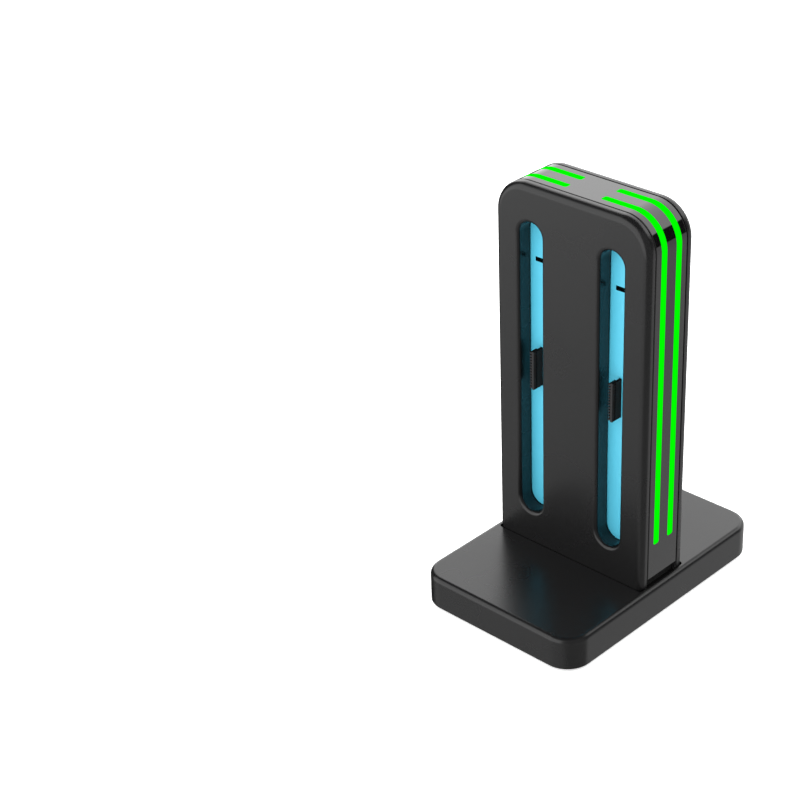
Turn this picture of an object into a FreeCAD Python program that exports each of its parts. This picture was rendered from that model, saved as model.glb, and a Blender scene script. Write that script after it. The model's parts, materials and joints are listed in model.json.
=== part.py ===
"""Charging dock for four slim game controllers, as a parametric FreeCAD document.

Two half shells stand as a tower in a shallow pocket of a flat base. A gloss band with two lines of
light on each side wraps over the ends and top of the tower. Each wide face has two round-ended slots
with a coloured liner and a contact blade. Millimetres, +Z up, wide faces towards -Y and +Y, the
charging inlet at the -X end, and the origin on the ground under the middle of the base.
"""

import FreeCAD, Part

import os

import Sketcher
from FreeCAD import Placement, Rotation, Vector

SIZES = {
    # Base
    "base_side_margin": 2.05,
    "base_depth": 92.7,
    "base_height": 11.0,
    "base_corner": 8.5,
    "base_top_round": 1.6,
    "base_rim_round": 0.5,
    "base_wall": 2.2,
    "base_roof": 2.4,
    "plate_thickness": 2.0,
    "plate_gap": 0.15,
    "foot_stand": 0.8,
    "foot_diameter": 9.0,
    "foot_thickness": 2.0,
    "foot_inset": 10.5,
    "foot_gap": 0.1,
    "foot_bevel": 0.4,
    "ballast_width": 44.0,
    "ballast_depth": 19.0,
    "ballast_thickness": 3.0,
    "ballast_gap": 1.2,
    # Tower
    "pocket_depth": 1.2,
    "pocket_gap": 0.15,
    "pocket_corner": 1.2,
    "bed_thickness": 2.8,
    "bed_margin": 2.0,
    "tower_width": 57.7,
    "tower_depth": 21.2,
    "tower_corner": 10.9,
    "tower_edge_round": 2.2,
    "shell_wall": 2.0,
    "step_wall": 1.4,
    "floor_wall": 2.0,
    # Band and lines of light
    "band_width": 14.2,
    "band_thickness": 1.8,
    "band_edge": 0.25,
    "band_lift": 2.75,
    "groove_width": 0.35,
    "line_width": 2.5,
    "line_spacing": 6.8,
    "line_round": 0.7,
    "line_gap": 0.04,
    "line_tip": 6.5,
    "line_foot_plain": 14.3,
    "line_foot_port": 19.1,
    "guide_width": 12.4,
    "guide_gap": 0.1,
    "guide_lap": 1.2,
    # Light strips
    "lamp_height": 0.7,
    "lamp_width": 2.8,
    "lamp_length": 3.5,
    "lamp_pitch": 16.0,
    "lamp_count": 6,
    "top_lamp_pitch": 5.0,
    "flex_thickness": 0.4,
    "flex_width": 10.4,
    "tail_length": 6.0,
    "tail_lap": 2.4,
    "tail_lift": 24.0,
    # Slots, liners and contacts
    "slot_side_margin": 9.0,
    "slot_head_margin": 11.9,
    "slot_lift": 10.9,
    "slot_width": 9.0,
    "slot_length": 100.4,
    "slot_depth": 5.8,
    "slot_round": 1.2,
    "slot_skirt": 1.2,
    "liner_thickness": 1.2,
    "liner_window_gap": 0.1,
    "slit_lift": 35.9,
    "slit_width": 5.2,
    "slit_height": 1.5,
    "blade_width": 0.8,
    "blade_length": 13.2,
    "blade_reach": 4.2,
    "blade_offset": 0.35,
    "blade_drop": 0.1,
    "blade_tip_chamfer": 0.1,
    "block_width": 6.6,
    "block_length": 17.0,
    "contact_count": 13,
    "contact_pitch": 0.99,
    "contact_width": 0.58,
    "contact_proud": 0.9,
    "contact_reach": 3.0,
    "contact_setback": 0.1,
    "contact_end_proud": 0.06,
    "contact_end_reach": 0.6,
    "contact_end_setback": 0.95,
    # Main board and charging inlet
    "board_thickness": 1.6,
    "board_height": 96.0,
    "board_side_gap": 1.2,
    "board_foot_gap": 0.4,
    "post_radius": 3.0,
    "post_inset": 8.0,
    "press_inset": 22.0,
    "inlet_lift": 9.2,
    "inlet_height": 9.6,
    "inlet_width": 3.7,
    "socket_height": 9.0,
    "socket_thickness": 3.2,
    "socket_wall": 0.3,
    "socket_length": 7.3,
    "socket_setback": 0.6,
    "socket_gap": 0.1,
    "tongue_height": 6.7,
    "tongue_thickness": 0.7,
    "tongue_length": 4.6,
    "chip_size": 5.0,
    "chip_height": 1.0,
    "chip_spacing": 9.0,
    "chip_lift": 40.0,
    "coil_size": 5.6,
    "coil_height": 2.2,
    "coil_bevel": 0.5,
    "capacitor_length": 2.0,
    "capacitor_width": 1.2,
    "capacitor_height": 1.0,
    "capacitor_pitch": 3.4,
    "capacitor_count": 5,
    # Screws
    "screw_radius": 1.2,
    "screw_pilot_gap": 0.1,
    "screw_hole_gap": 0.3,
    "screw_head_radius": 2.3,
    "screw_head_height": 1.2,
    "screw_cross_length": 2.6,
    "screw_cross_width": 0.5,
    "screw_cross_depth": 0.7,
    "screw_boss_wall": 1.7,
    "bore_extra": 0.5,
    "base_screw_length": 6.0,
    "base_screw_x": 20.0,
    "base_screw_y": 17.5,
    "tower_screw_length": 8.5,
    "tower_screw_x": 12.0,
    "tower_screw_y": 5.2,
    "tower_boss_height": 7.5,
    "board_screw_length": 6.5,
}

# Places and lengths that follow from the sizes, as expressions of the sheet
BASE_TOP = "(Sizes.foot_stand + Sizes.base_height)"
ROOF_UNDER = f"({BASE_TOP} - Sizes.base_roof)"
PLATE_TOP = "(Sizes.foot_stand + Sizes.plate_thickness)"
BED_TOP = f"({BASE_TOP} - Sizes.pocket_depth)"
BED_UNDER = f"({BED_TOP} - Sizes.bed_thickness)"
BASE_WIDTH = "(Sizes.tower_width + 2 * Sizes.base_side_margin)"
CAVITY_WIDTH = f"({BASE_WIDTH} - 2 * Sizes.base_wall)"
CAVITY_DEPTH = "(Sizes.base_depth - 2 * Sizes.base_wall)"
CAVITY_CORNER = "(Sizes.base_corner - Sizes.base_wall)"
TOWER_TOP = f"({BASE_TOP} + Sizes.slot_lift + Sizes.slot_length + Sizes.slot_head_margin)"
HALF_WIDTH = "(Sizes.tower_width / 2)"
HALF_DEPTH = "(Sizes.tower_depth / 2)"
REBATE_HALF = "(Sizes.band_width / 2 + Sizes.groove_width)"
GUIDE_INSET = "(Sizes.band_thickness + Sizes.step_wall)"
ROOM_WIDTH = f"(Sizes.tower_width - 2 * {GUIDE_INSET})"
ROOM_FLOOR = f"({BED_TOP} + Sizes.floor_wall)"
ROOM_HALF = f"({HALF_DEPTH} - Sizes.shell_wall)"
SLOT_Z = f"({BASE_TOP} + Sizes.slot_lift + Sizes.slot_length / 2)"
SLOT_X = f"({HALF_WIDTH} - Sizes.slot_side_margin - Sizes.slot_width / 2)"
SLOT_FLOOR = f"({HALF_DEPTH} - Sizes.slot_depth)"
BLADE_X, BLADE_Z = "(-1 * Sizes.blade_offset)", "(-1 * Sizes.blade_drop)"
SKIRT_WIDTH = "(Sizes.slot_width + 2 * Sizes.slot_skirt)"
SKIRT_LENGTH = "(Sizes.slot_length + 2 * Sizes.slot_skirt)"
LINER_BACK = f"({SLOT_FLOOR} - Sizes.liner_thickness)"
BOARD_HALF = "(Sizes.board_thickness / 2)"
BOARD_FOOT = f"({ROOM_FLOOR} + Sizes.board_foot_gap)"
LAMP_INSET = f"({GUIDE_INSET} + Sizes.lamp_height)"
FLEX_INSET = f"({LAMP_INSET} + Sizes.flex_thickness)"
BOARD_WIDTH = f"(Sizes.tower_width - 2 * {FLEX_INSET} - 2 * Sizes.board_side_gap)"
BOARD_TOP = f"({BOARD_FOOT} + Sizes.board_height)"
SCREW_POSTS = [("0", f"({BOARD_FOOT} + Sizes.post_inset)"), ("0", f"({BOARD_TOP} - Sizes.post_inset)")]
PRESS_POSTS = [("0", f"({BOARD_FOOT} + Sizes.press_inset)"), ("0", f"({BOARD_TOP} - Sizes.press_inset)")]
INLET_Z = f"({BASE_TOP} + Sizes.inlet_lift)"
SOCKET_BACK = f"({HALF_WIDTH} - Sizes.socket_setback - Sizes.socket_length)"
PILOT_RADIUS = "(Sizes.screw_radius - Sizes.screw_pilot_gap)"
HOLE_RADIUS = "(Sizes.screw_radius + Sizes.screw_hole_gap)"
BOSS_RADIUS = "(Sizes.screw_radius + Sizes.screw_boss_wall)"
HEAD_ROOM = "(Sizes.screw_head_radius + Sizes.screw_hole_gap)"
NEAR = 0.01

doc = FreeCAD.newDocument("charging_dock")
sheet = doc.addObject("Spreadsheet::Sheet", "Sizes")
for row, (alias, size) in enumerate(SIZES.items(), 1):
    sheet.set(f"A{row}", alias)
    sheet.set(f"B{row}", str(size))
    sheet.setAlias(f"B{row}", alias)
doc.recompute()


def value(expression):
    """Number that an expression of the sheet stands for."""
    return float(sheet.evalExpression(expression))


def bind(sketch, constraint, name, expression):
    """Add a dimension to a sketch and tie it to the sheet."""
    index = sketch.addConstraint(constraint)
    sketch.renameConstraint(index, name)
    sketch.setExpression(f"Constraints.{name}", expression)


def rectangle(sketch, width, height, x="0", y="0"):
    """Rectangle centred on x, y."""
    first = sketch.GeometryCount
    left, low = value(f"{x} - {width} / 2"), value(f"{y} - {height} / 2")
    right, high = left + value(width), low + value(height)
    corners = [Vector(left, low), Vector(right, low), Vector(right, high), Vector(left, high)]
    for start, end in zip(corners, corners[1:] + corners[:1]):
        sketch.addGeometry(Part.LineSegment(start, end))
    for side in range(4):
        sketch.addConstraint(Sketcher.Constraint("Coincident", first + side, 2, first + (side + 1) % 4, 1))
        level = "Vertical" if side % 2 else "Horizontal"
        sketch.addConstraint(Sketcher.Constraint(level, first + side))
    across = Sketcher.Constraint("DistanceX", first, 1, first, 2, right - left)
    bind(sketch, across, f"width{first}", width)
    upward = Sketcher.Constraint("DistanceY", first + 1, 1, first + 1, 2, high - low)
    bind(sketch, upward, f"height{first}", height)
    aside = Sketcher.Constraint("DistanceX", -1, 1, first, 1, left)
    bind(sketch, aside, f"left{first}", f"{x} - {width} / 2")
    below = Sketcher.Constraint("DistanceY", -1, 1, first, 1, low)
    bind(sketch, below, f"low{first}", f"{y} - {height} / 2")


def circle(sketch, radius, x="0", y="0"):
    """Circle centred on x, y."""
    index = sketch.addGeometry(Part.Circle(Vector(value(x), value(y)), Vector(0, 0, 1), value(radius)))
    bind(sketch, Sketcher.Constraint("Radius", index, value(radius)), f"radius{index}", radius)
    bind(sketch, Sketcher.Constraint("DistanceX", -1, 1, index, 3, value(x)), f"across{index}", x)
    bind(sketch, Sketcher.Constraint("DistanceY", -1, 1, index, 3, value(y)), f"up{index}", y)


def obround(sketch, width, length, x="0", y="0"):
    """Upright round-ended slot outline centred on x, y."""
    radius, across, up = value(width) / 2, value(x), value(y)
    reach = value(length) / 2 - radius
    high, low = Vector(across, up + reach), Vector(across, up - reach)
    first = sketch.GeometryCount
    turn = FreeCAD.Units.parseQuantity("180 deg").getValueAs("rad").Value
    axis = Vector(0, 0, 1)
    side = Vector(radius, 0)
    sketch.addGeometry(Part.ArcOfCircle(Part.Circle(high, axis, radius), 0, turn))
    sketch.addGeometry(Part.LineSegment(high - side, low - side))
    sketch.addGeometry(Part.ArcOfCircle(Part.Circle(low, axis, radius), turn, 2 * turn))
    sketch.addGeometry(Part.LineSegment(low + side, high + side))
    for step in range(4):
        after = first + (step + 1) % 4
        sketch.addConstraint(Sketcher.Constraint("Tangent", first + step, 2, after, 1))
    sketch.addConstraint(Sketcher.Constraint("Equal", first, first + 2))
    sketch.addConstraint(Sketcher.Constraint("Vertical", first + 1))
    bind(sketch, Sketcher.Constraint("Radius", first, radius), f"radius{first}", f"{width} / 2")
    bind(sketch, Sketcher.Constraint("DistanceX", -1, 1, first, 3, across), f"across{first}", x)
    top = f"{y} + {length} / 2 - {width} / 2"
    bind(sketch, Sketcher.Constraint("DistanceY", -1, 1, first, 3, high.y), f"high{first}", top)
    spread = Sketcher.Constraint("DistanceY", first + 2, 3, first, 3, 2 * reach)
    bind(sketch, spread, f"spread{first}", f"{length} - {width}")


def arch(sketch, inset, foot):
    """Outline of the tower seen from the front, inset all round but for its square foot."""
    outline = {"width": f"(Sizes.tower_width - 2 * {inset})", "radius": f"(Sizes.tower_corner - {inset})"}
    outline["height"] = f"({TOWER_TOP} - {inset} - {foot})"
    half, radius, low = value(outline["width"]) / 2, value(outline["radius"]), value(foot)
    high = low + value(outline["height"])
    shoulder = high - radius
    quarter = FreeCAD.Units.parseQuantity("90 deg").getValueAs("rad").Value
    right, left = Vector(half - radius, shoulder), Vector(radius - half, shoulder)
    axis = Vector(0, 0, 1)
    sketch.addGeometry(Part.LineSegment(Vector(-half, low), Vector(half, low)))
    sketch.addGeometry(Part.LineSegment(Vector(half, low), Vector(half, shoulder)))
    sketch.addGeometry(Part.ArcOfCircle(Part.Circle(right, axis, radius), 0, quarter))
    sketch.addGeometry(Part.LineSegment(Vector(right.x, high), Vector(left.x, high)))
    sketch.addGeometry(Part.ArcOfCircle(Part.Circle(left, axis, radius), quarter, 2 * quarter))
    sketch.addGeometry(Part.LineSegment(Vector(-half, shoulder), Vector(-half, low)))
    for joint in ((0, 2, 1, 1), (5, 2, 0, 1)):
        sketch.addConstraint(Sketcher.Constraint("Coincident", *joint))
    for line in range(1, 5):
        sketch.addConstraint(Sketcher.Constraint("Tangent", line, 2, line + 1, 1))
    for level, line in (("Horizontal", 0), ("Horizontal", 3), ("Vertical", 1), ("Vertical", 5)):
        sketch.addConstraint(Sketcher.Constraint(level, line))
    sketch.addConstraint(Sketcher.Constraint("Equal", 2, 4))
    bind(sketch, Sketcher.Constraint("Radius", 2, radius), "radius", outline["radius"])
    bind(sketch, Sketcher.Constraint("DistanceX", 0, 1, 0, 2, 2 * half), "width", outline["width"])
    bind(sketch, Sketcher.Constraint("DistanceY", 0, 1, 3, 1, high - low), "height", outline["height"])
    aside = Sketcher.Constraint("DistanceX", -1, 1, 0, 1, -half)
    bind(sketch, aside, "left", f"-1 * {outline['width']} / 2")
    bind(sketch, Sketcher.Constraint("DistanceY", -1, 1, 0, 1, low), "low", foot)


def corner_strip(sketch, inset, thickness, foot, tip):
    """Strip of even thickness that follows the tower's outline from foot, up its +X end, to tip on top."""
    centre = Vector(value(f"{HALF_WIDTH} - Sizes.tower_corner"), value(f"{TOWER_TOP} - Sizes.tower_corner"))
    outer = value(f"Sizes.tower_corner - {inset}")
    inner = outer - value(thickness)
    low, end = value(foot), value(tip)
    quarter = FreeCAD.Units.parseQuantity("90 deg").getValueAs("rad").Value
    axis = Vector(0, 0, 1)
    right, left = centre.x + outer, centre.x + inner
    top, under = centre.y + outer, centre.y + inner
    sketch.addGeometry(Part.LineSegment(Vector(right, low), Vector(right, centre.y)))
    sketch.addGeometry(Part.ArcOfCircle(Part.Circle(centre, axis, outer), 0, quarter))
    sketch.addGeometry(Part.LineSegment(Vector(centre.x, top), Vector(end, top)))
    sketch.addGeometry(Part.LineSegment(Vector(end, top), Vector(end, under)))
    sketch.addGeometry(Part.LineSegment(Vector(end, under), Vector(centre.x, under)))
    sketch.addGeometry(Part.ArcOfCircle(Part.Circle(centre, axis, inner), 0, quarter))
    sketch.addGeometry(Part.LineSegment(Vector(left, centre.y), Vector(left, low)))
    sketch.addGeometry(Part.LineSegment(Vector(left, low), Vector(right, low)))
    for joint in ((0, 2, 1, 1), (1, 2, 2, 1), (4, 2, 5, 2), (5, 1, 6, 1)):
        sketch.addConstraint(Sketcher.Constraint("Tangent", *joint))
    for joint in ((2, 2, 3, 1), (3, 2, 4, 1), (6, 2, 7, 1), (7, 2, 0, 1), (1, 3, 5, 3)):
        sketch.addConstraint(Sketcher.Constraint("Coincident", *joint))
    for line in (0, 3, 6):
        sketch.addConstraint(Sketcher.Constraint("Vertical", line))
    for line in (2, 4, 7):
        sketch.addConstraint(Sketcher.Constraint("Horizontal", line))
    outer_radius = f"Sizes.tower_corner - {inset}"
    bind(sketch, Sketcher.Constraint("Radius", 1, outer), "outer", outer_radius)
    bind(sketch, Sketcher.Constraint("Radius", 5, inner), "inner", f"{outer_radius} - {thickness}")
    across = Sketcher.Constraint("DistanceX", -1, 1, 1, 3, centre.x)
    bind(sketch, across, "across", f"{HALF_WIDTH} - Sizes.tower_corner")
    upward = Sketcher.Constraint("DistanceY", -1, 1, 1, 3, centre.y)
    bind(sketch, upward, "up", f"{TOWER_TOP} - Sizes.tower_corner")
    bind(sketch, Sketcher.Constraint("DistanceY", -1, 1, 0, 1, low), "foot", foot)
    bind(sketch, Sketcher.Constraint("DistanceX", -1, 1, 3, 1, end), "tip", tip)


def runs_along(edge, axis):
    """True for a straight edge parallel to the named axis."""
    if not isinstance(edge.Curve, Part.Line):
        return False
    return abs(abs(edge.Curve.Direction.dot(AXES[axis])) - 1) < NEAR


def lies_at(edge, axis, place):
    """True for an edge whose whole length is at one place along the named axis."""
    box = edge.BoundBox
    low, high = getattr(box, f"{axis}Min"), getattr(box, f"{axis}Max")
    return abs(low - place) < NEAR and abs(high - place) < NEAR


def upright_at(edge, reach):
    """True for an upright edge that stands at plus or minus reach along X."""
    return runs_along(edge, "Z") and abs(abs(edge.CenterOfMass.x) - reach) < NEAR


def outside_of(edge, across, along):
    """True for an edge that reaches past the place across along X, or past the place along along Y."""
    box = edge.BoundBox
    return max(box.XMax, -box.XMin) > across + NEAR or max(box.YMax, -box.YMin) > along + NEAR


AXES = {"X": Vector(1, 0, 0), "Y": Vector(0, 1, 0), "Z": Vector(0, 0, 1)}


class Piece:
    """One sub-part of the dock: a PartDesign body whose features are bound to the sheet."""

    made = []

    def __init__(self, label):
        self.body = doc.addObject("PartDesign::Body", label)
        self.body.Label = label
        self.body.AllowCompound = True
        Piece.made.append(self)

    def sketch(self, plane, lift="0"):
        """New sketch on an origin plane (XY, XZ or YZ), moved along the plane's own normal."""
        support = [item for item in self.body.Origin.OriginFeatures if item.Role == f"{plane}_Plane"]
        drawing = self.body.newObject("Sketcher::SketchObject", f"{self.body.Name}_sketch")
        drawing.AttachmentSupport = [(support[0], "")]
        drawing.MapMode = "FlatFace"
        drawing.setExpression("AttachmentOffset.Base.z", lift)
        return drawing

    def feature(self, kind, drawing, length, backwards):
        """Pad or pocket of a sketch, checked to have changed the solid."""
        before = self.body.Shape.Volume if self.body.Tip else 0
        made = self.body.newObject(f"PartDesign::{kind}", f"{self.body.Name}_{kind.lower()}")
        made.Profile = drawing
        made.Reversed = backwards
        made.setExpression("Length", length)
        doc.recompute()
        if not made.isValid():
            raise RuntimeError(f"{made.Name}: {made.getStatusString()}")
        change = made.Shape.Volume - before
        if (change if kind == "Pad" else -change) <= 0:
            raise RuntimeError(f"{made.Name} changed nothing")
        return made

    def pad(self, drawing, length, backwards=False):
        """Add the sketch's outline along its normal, or the other way when backwards."""
        return self.feature("Pad", drawing, length, backwards)

    def pocket(self, drawing, length, backwards=False):
        """Cut the sketch's outline against its normal, or along it when backwards."""
        return self.feature("Pocket", drawing, length, backwards)

    def dress(self, kind, size, picked):
        """Fillet or chamfer every edge of the tip that the test picks."""
        base = self.body.Tip
        names = [f"Edge{place}" for place, edge in enumerate(base.Shape.Edges, 1) if picked(edge)]
        made = self.body.newObject(f"PartDesign::{kind}", f"{self.body.Name}_{kind.lower()}")
        made.Base = (base, names)
        made.setExpression("Radius" if kind == "Fillet" else "Size", size)
        doc.recompute()
        if not made.isValid():
            raise RuntimeError(f"{made.Name}: {made.getStatusString()} on {len(names)} edges")
        return made

    def fillet(self, size, picked):
        """Round every edge that the test picks."""
        return self.dress("Fillet", size, picked)

    def chamfer(self, size, picked):
        """Bevel every edge that the test picks."""
        return self.dress("Chamfer", size, picked)

    def repeat(self, feature, drawing, axis, length, count):
        """Row of copies of a feature along an axis of its sketch."""
        row = self.body.newObject("PartDesign::LinearPattern", f"{self.body.Name}_row")
        row.Originals = [feature]
        row.Direction = (drawing, [axis])
        row.setExpression("Length", length)
        row.setExpression("Occurrences", count)
        self.body.Tip = row
        doc.recompute()
        return row

    def place(self, x="0", y="0", z="0", turned=False):
        """Put the finished piece in the dock, turned half round about Z where it faces the other way."""
        self.body.Placement = Placement(Vector(), Rotation(AXES["Z"], 180 if turned else 0))
        for axis, where in zip("xyz", (x, y, z)):
            self.body.setExpression(f"Placement.Base.{axis}", where)
        return self


def four(x, y):
    """The four places at plus and minus x and y."""
    return [(f"{side} * {x}", f"{end} * {y}") for side in (-1, 1) for end in (-1, 1)]


FOOT_PLACES = four(f"({BASE_WIDTH} / 2 - Sizes.foot_inset)", "(Sizes.base_depth / 2 - Sizes.foot_inset)")
BASE_SCREWS = four("Sizes.base_screw_x", "Sizes.base_screw_y")
TOWER_SCREWS = four("Sizes.tower_screw_x", "Sizes.tower_screw_y")


def circles(drawing, radius, places):
    """Equal circles at each place."""
    for x, y in places:
        circle(drawing, radius, x, y)
    return drawing


def base_shell():
    """Upper casing of the base: open below, with the tower's pocket in its roof."""
    piece = Piece("base_shell")
    drawing = piece.sketch("XY", "Sizes.foot_stand")
    rectangle(drawing, BASE_WIDTH, "Sizes.base_depth")
    piece.pad(drawing, "Sizes.base_height")
    drawing = piece.sketch("XY", "Sizes.foot_stand")
    rectangle(drawing, CAVITY_WIDTH, CAVITY_DEPTH)
    piece.pocket(drawing, "Sizes.base_height - Sizes.base_roof", backwards=True)
    across, along = value(f"{CAVITY_WIDTH} / 2"), value(f"{CAVITY_DEPTH} / 2")
    piece.fillet(CAVITY_CORNER, lambda edge: upright_at(edge, across))
    piece.fillet("Sizes.base_corner", lambda edge: upright_at(edge, value(f"{BASE_WIDTH} / 2")))
    piece.fillet("Sizes.base_top_round", lambda edge: lies_at(edge, "Z", value(BASE_TOP)))
    low = value("Sizes.foot_stand")
    rim = "Sizes.base_rim_round"
    piece.fillet(rim, lambda edge: lies_at(edge, "Z", low) and outside_of(edge, across, along))
    drawing = piece.sketch("XY", BED_UNDER)
    rectangle(drawing, f"({BASE_WIDTH} - Sizes.base_wall)", "(Sizes.tower_depth + 2 * Sizes.bed_margin)")
    piece.pad(drawing, f"{ROOF_UNDER} + Sizes.base_roof / 2 - {BED_UNDER}")
    drawing = piece.sketch("XY", PLATE_TOP)
    circles(drawing, BOSS_RADIUS, BASE_SCREWS)
    piece.pad(drawing, f"{ROOF_UNDER} + Sizes.base_roof / 2 - {PLATE_TOP}")
    drawing = piece.sketch("XY", BASE_TOP)
    length = "(Sizes.tower_width + 2 * Sizes.pocket_gap)"
    rectangle(drawing, length, "(Sizes.tower_depth + 2 * Sizes.pocket_gap)")
    piece.pocket(drawing, "Sizes.pocket_depth")
    pocket_side = value(f"{HALF_WIDTH} + Sizes.pocket_gap")
    piece.fillet("Sizes.pocket_corner", lambda edge: upright_at(edge, pocket_side))
    drawing = piece.sketch("XY", PLATE_TOP)
    circles(drawing, PILOT_RADIUS, BASE_SCREWS)
    piece.pocket(drawing, "Sizes.base_screw_length + Sizes.bore_extra", backwards=True)
    drawing = piece.sketch("XY", BED_TOP)
    circles(drawing, HOLE_RADIUS, TOWER_SCREWS)
    piece.pocket(drawing, "Sizes.bed_thickness")
    return piece.place()


def base_plate():
    """Flat cover that closes the base from below, with recesses for the feet and screw heads."""
    piece = Piece("base_plate")
    drawing = piece.sketch("XY", "Sizes.foot_stand")
    width = f"({CAVITY_WIDTH} - 2 * Sizes.plate_gap)"
    rectangle(drawing, width, f"({CAVITY_DEPTH} - 2 * Sizes.plate_gap)")
    piece.pad(drawing, "Sizes.plate_thickness")
    piece.fillet(f"{CAVITY_CORNER} - Sizes.plate_gap", lambda edge: runs_along(edge, "Z"))
    drawing = piece.sketch("XY", "Sizes.foot_stand")
    circles(drawing, "(Sizes.foot_diameter / 2 + Sizes.foot_gap)", FOOT_PLACES)
    piece.pocket(drawing, "Sizes.foot_thickness - Sizes.foot_stand", backwards=True)
    drawing = piece.sketch("XY", "Sizes.foot_stand")
    circles(drawing, HEAD_ROOM, BASE_SCREWS)
    piece.pocket(drawing, "Sizes.screw_head_height", backwards=True)
    drawing = piece.sketch("XY", "Sizes.foot_stand")
    circles(drawing, HOLE_RADIUS, BASE_SCREWS)
    piece.pocket(drawing, "Sizes.plate_thickness", backwards=True)
    return piece.place()


def rubber_foot(label, x, y):
    """Round foot pressed into a recess of the base plate."""
    piece = Piece(label)
    drawing = piece.sketch("XY")
    circle(drawing, "Sizes.foot_diameter / 2")
    piece.pad(drawing, "Sizes.foot_thickness")
    piece.chamfer("Sizes.foot_bevel", lambda edge: lies_at(edge, "Z", 0))
    return piece.place(x, y)


def ballast(label, turned):
    """Steel plate that lies in the base in front of the tower, or behind it when turned."""
    piece = Piece(label)
    drawing = piece.sketch("XY", PLATE_TOP)
    middle = f"(Sizes.ballast_depth / 2 + Sizes.ballast_gap - {CAVITY_DEPTH} / 2)"
    rectangle(drawing, "Sizes.ballast_width", "Sizes.ballast_depth", "0", middle)
    piece.pad(drawing, "Sizes.ballast_thickness")
    return piece.place(turned=turned)


def screws(label, places, seat, length, plane="XY", backwards=False):
    """Set of cross-head screws whose heads bear on the seat and whose shanks run into the piece beyond."""
    piece = Piece(label)
    drawing = piece.sketch(plane, seat)
    circles(drawing, "Sizes.screw_head_radius", places)
    piece.pad(drawing, "Sizes.screw_head_height", backwards=not backwards)
    drawing = piece.sketch(plane, seat)
    circles(drawing, PILOT_RADIUS, places)
    piece.pad(drawing, length, backwards=backwards)
    side = "+" if backwards else "-"
    cross = ("Sizes.screw_cross_length", "Sizes.screw_cross_width")
    for across, upward in (cross, cross[::-1]):
        crown = piece.sketch(plane, f"{seat} {side} Sizes.screw_head_height")
        for x, y in places:
            rectangle(crown, across, upward, x, y)
        piece.pocket(crown, "Sizes.screw_cross_depth", backwards=not backwards)
    return piece.place()


def slot_places():
    """The two slots of one wide face."""
    return [(f"{side} * {SLOT_X}", SLOT_Z) for side in (-1, 1)]


def tower_shell(label, plain_side, turned, holds_board):
    """Half of the tower's casing, drawn as the front one, with its open side on the middle plane.

    plain_side is the sign of X, in the piece's own frame, of the end without the charging inlet. The
    half that holds the board has posts for its screws, and the other has posts that press against it.
    """
    piece = Piece(label)
    drawing = piece.sketch("XZ", REBATE_HALF)
    arch(drawing, "0", BED_TOP)
    piece.pad(drawing, f"{HALF_DEPTH} - {REBATE_HALF}")
    face, foot = -value(HALF_DEPTH), value(BED_TOP)
    edge_round = "Sizes.tower_edge_round"
    piece.fillet(edge_round, lambda edge: lies_at(edge, "Y", face) and not lies_at(edge, "Z", foot))
    drawing = piece.sketch("XZ")
    arch(drawing, "Sizes.band_thickness", BED_TOP)
    piece.pad(drawing, REBATE_HALF)
    drawing = piece.sketch("XZ")
    arch(drawing, GUIDE_INSET, ROOM_FLOOR)
    piece.pocket(drawing, ROOM_HALF, backwards=True)
    for side in (-1, 1):
        foot = "Sizes.line_foot_plain" if side == plain_side else "Sizes.line_foot_port"
        light_window(piece, side, f"({BASE_TOP} + {foot} - Sizes.guide_lap - Sizes.guide_gap)")
    slots(piece)
    drawing = piece.sketch("XZ", BOARD_HALF)
    circles(drawing, "Sizes.post_radius", SCREW_POSTS if holds_board else PRESS_POSTS)
    piece.pad(drawing, f"{ROOM_HALF} - {BOARD_HALF} + Sizes.shell_wall / 2")
    if holds_board:
        drawing = piece.sketch("XZ", BOARD_HALF)
        circles(drawing, PILOT_RADIUS, SCREW_POSTS)
        depth = "Sizes.board_screw_length - Sizes.board_thickness + Sizes.bore_extra"
        piece.pocket(drawing, depth, backwards=True)
    foot_bosses(piece)
    drawing = piece.sketch("XZ")
    notch = f"({HALF_WIDTH} - {ROOM_WIDTH} / 2 + Sizes.bore_extra)"
    middle = f"({-plain_side} * ({HALF_WIDTH} - {notch} / 2))"
    rectangle(drawing, notch, "Sizes.inlet_height", middle, INLET_Z)
    piece.pocket(drawing, "Sizes.inlet_width / 2", backwards=True)
    return piece.place(turned=turned)


def light_window(piece, side, foot):
    """Opening in the step wall that the light guide's web fills, from foot round the corner to the tip."""
    tip = "(Sizes.line_tip - Sizes.guide_lap - Sizes.guide_gap)"
    drawing = piece.sketch("XZ")
    width, height = f"({HALF_WIDTH} - {tip})", f"({TOWER_TOP} - {foot})"
    rectangle(drawing, width, height, f"({side} * ({tip} + {width} / 2))", f"({foot} + {height} / 2)")
    piece.pocket(drawing, "Sizes.guide_width / 2 + Sizes.guide_gap", backwards=True)


def slots(piece):
    """Two round-ended controller slots, each with a skirt that reaches inwards to the liner."""
    for x, z in slot_places():
        drawing = piece.sketch("XZ", SLOT_FLOOR)
        obround(drawing, SKIRT_WIDTH, SKIRT_LENGTH, x, z)
        piece.pad(drawing, "Sizes.slot_depth - Sizes.shell_wall / 2")
    for x, z in slot_places():
        drawing = piece.sketch("XZ", SLOT_FLOOR)
        obround(drawing, "Sizes.slot_width", "Sizes.slot_length", x, z)
        piece.pocket(drawing, "Sizes.slot_depth", backwards=True)
    piece.fillet("Sizes.slot_round", is_slot_mouth)


def is_slot_mouth(edge):
    """True for an edge of a slot's outline on the wide face."""
    middle = edge.CenterOfMass
    within = abs(abs(middle.x) - value(SLOT_X)) < value("Sizes.slot_width / 2") + NEAR
    level = abs(middle.z - value(SLOT_Z)) < value("Sizes.slot_length / 2")
    return lies_at(edge, "Y", -value(HALF_DEPTH)) and within and level


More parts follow.
